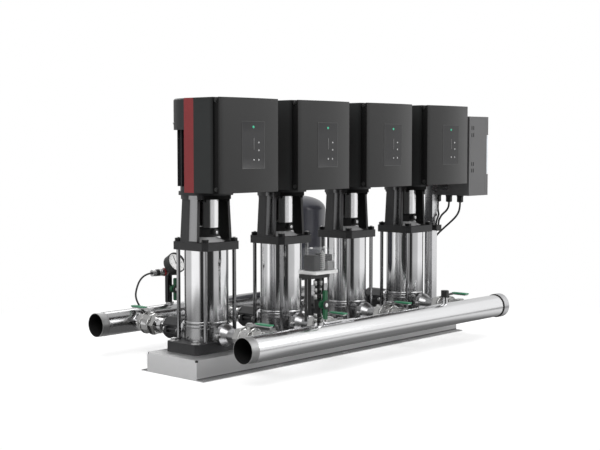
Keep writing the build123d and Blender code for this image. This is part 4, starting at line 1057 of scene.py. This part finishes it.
def makeDoor():
    display = block("display", (0.0082, 0.246, 0.138), 0.0008)
    pressFaces(display, lambda face: face.normal.x > 0.99, 0.006, -0.0006)
    placed(display, cabinetSettings["display"])
    finished("door_display", [display], "display", "cabinet_door")
    knuckle = turned("hinge", [(0.1, 56), (4.2, 56), (4.8, 55.2), (4.8, 28.8), (4.2, 28.2), (4.2, 27.8),
                               (4.8, 27.2), (4.8, 0.8), (4.2, 0), (0.1, 0)], 28)
    finished("cabinet_hinges", spread(knuckle, cabinetSettings["hinges"]), "black")
    lock = [(0.1, -0.4), (5, -0.4), (6, 0), (9.8, 0), (11.2, -0.1), (11.6, -0.3)]
    turnedPiece("door_lock", lock, 40, cabinetSettings["lock"], right, "bolt", "cabinet_door")


def makeCabinet():
    vents = [(x, cabinetSettings["ventsY"], high) for high in cabinetSettings["vents"]
             for x in cabinetSettings["ventsX"]]
    vent = block("vent", (0.005, 0.0012, 0.014), 0.0005)
    finished("cabinet_vents", spread(vent, vents), "black")
    ring = turned("glandRing", [(3.5, -26.2), (6, -26.6), (9.2, -24.5), (9.8, -21), (10.4, -20.6),
                                (10.4, -16.5), (9.8, -16), (9.8, -6), (12.5, -5.5), (12.8, -0.2)], 36)
    finished("gland_nuts", spread(ring, cabinetSettings["glands"]), "black")
    clip = block("clip", (0.0305, 0.0012, 0.0222), 0.0004)
    pressFaces(clip, lambda face: face.normal.y < -0.99, 0.0035, -0.0004)
    finished("clip_strap", [placed(clip, cabinetSettings["clip"])], "black")


# Fan covers: a grille of rings and spokes on top, and fixing screws low on the side
fanSettings = {"rings": (14, 26, 38, 50, 62, 74), "top": 0.8114, "spoke": (0.15, 0.0032, 0.0022),
               "spokes": range(0, 180, 30), "screwRadius": 0.095, "screwHeight": 0.741,
               "screws": (35, 145, 190, 350)}


def makeFanDetails():
    rings, top, spoke, spokes, reach, high, screws = fanSettings.values()
    profiles = ([(radius - 2.2, 0), (radius - 1.4, 1.1), (radius + 1.4, 1.1), (radius + 2.2, 0)]
                for radius in rings)
    grille = [turned("ring", profile, 56) for profile in profiles]
    grille += spread(block("spoke", spoke, 0.0004), [(0, 0, 0, (0, 0, radians(turn))) for turn in spokes])
    grilles = spread(joined(*grille), atPumps((0, rowY, top)))
    finished("fan_grilles", grilles, "grille")
    places = [(reach * cos(turn), rowY + reach * sin(turn), high, (0, pi / 2, turn))
              for turn in map(radians, screws)]
    screw = hexBolt("fanScrew", 0.008, 0.0016, 0.0055)
    finished("fan_screws", spread(screw, atPumps(*places)), "bolt")


finishes["display"] = displayGlass()
makeGrips()
makeBranchDetails()
makeTank()
makeGauge()
makeTransmitter()
makeTaps()
makeSwitchWorks()
makeSwitchCase()
makeDoor()
makeCabinet()
makeFanDetails()
print("valves, tank, instruments and cabinet made")
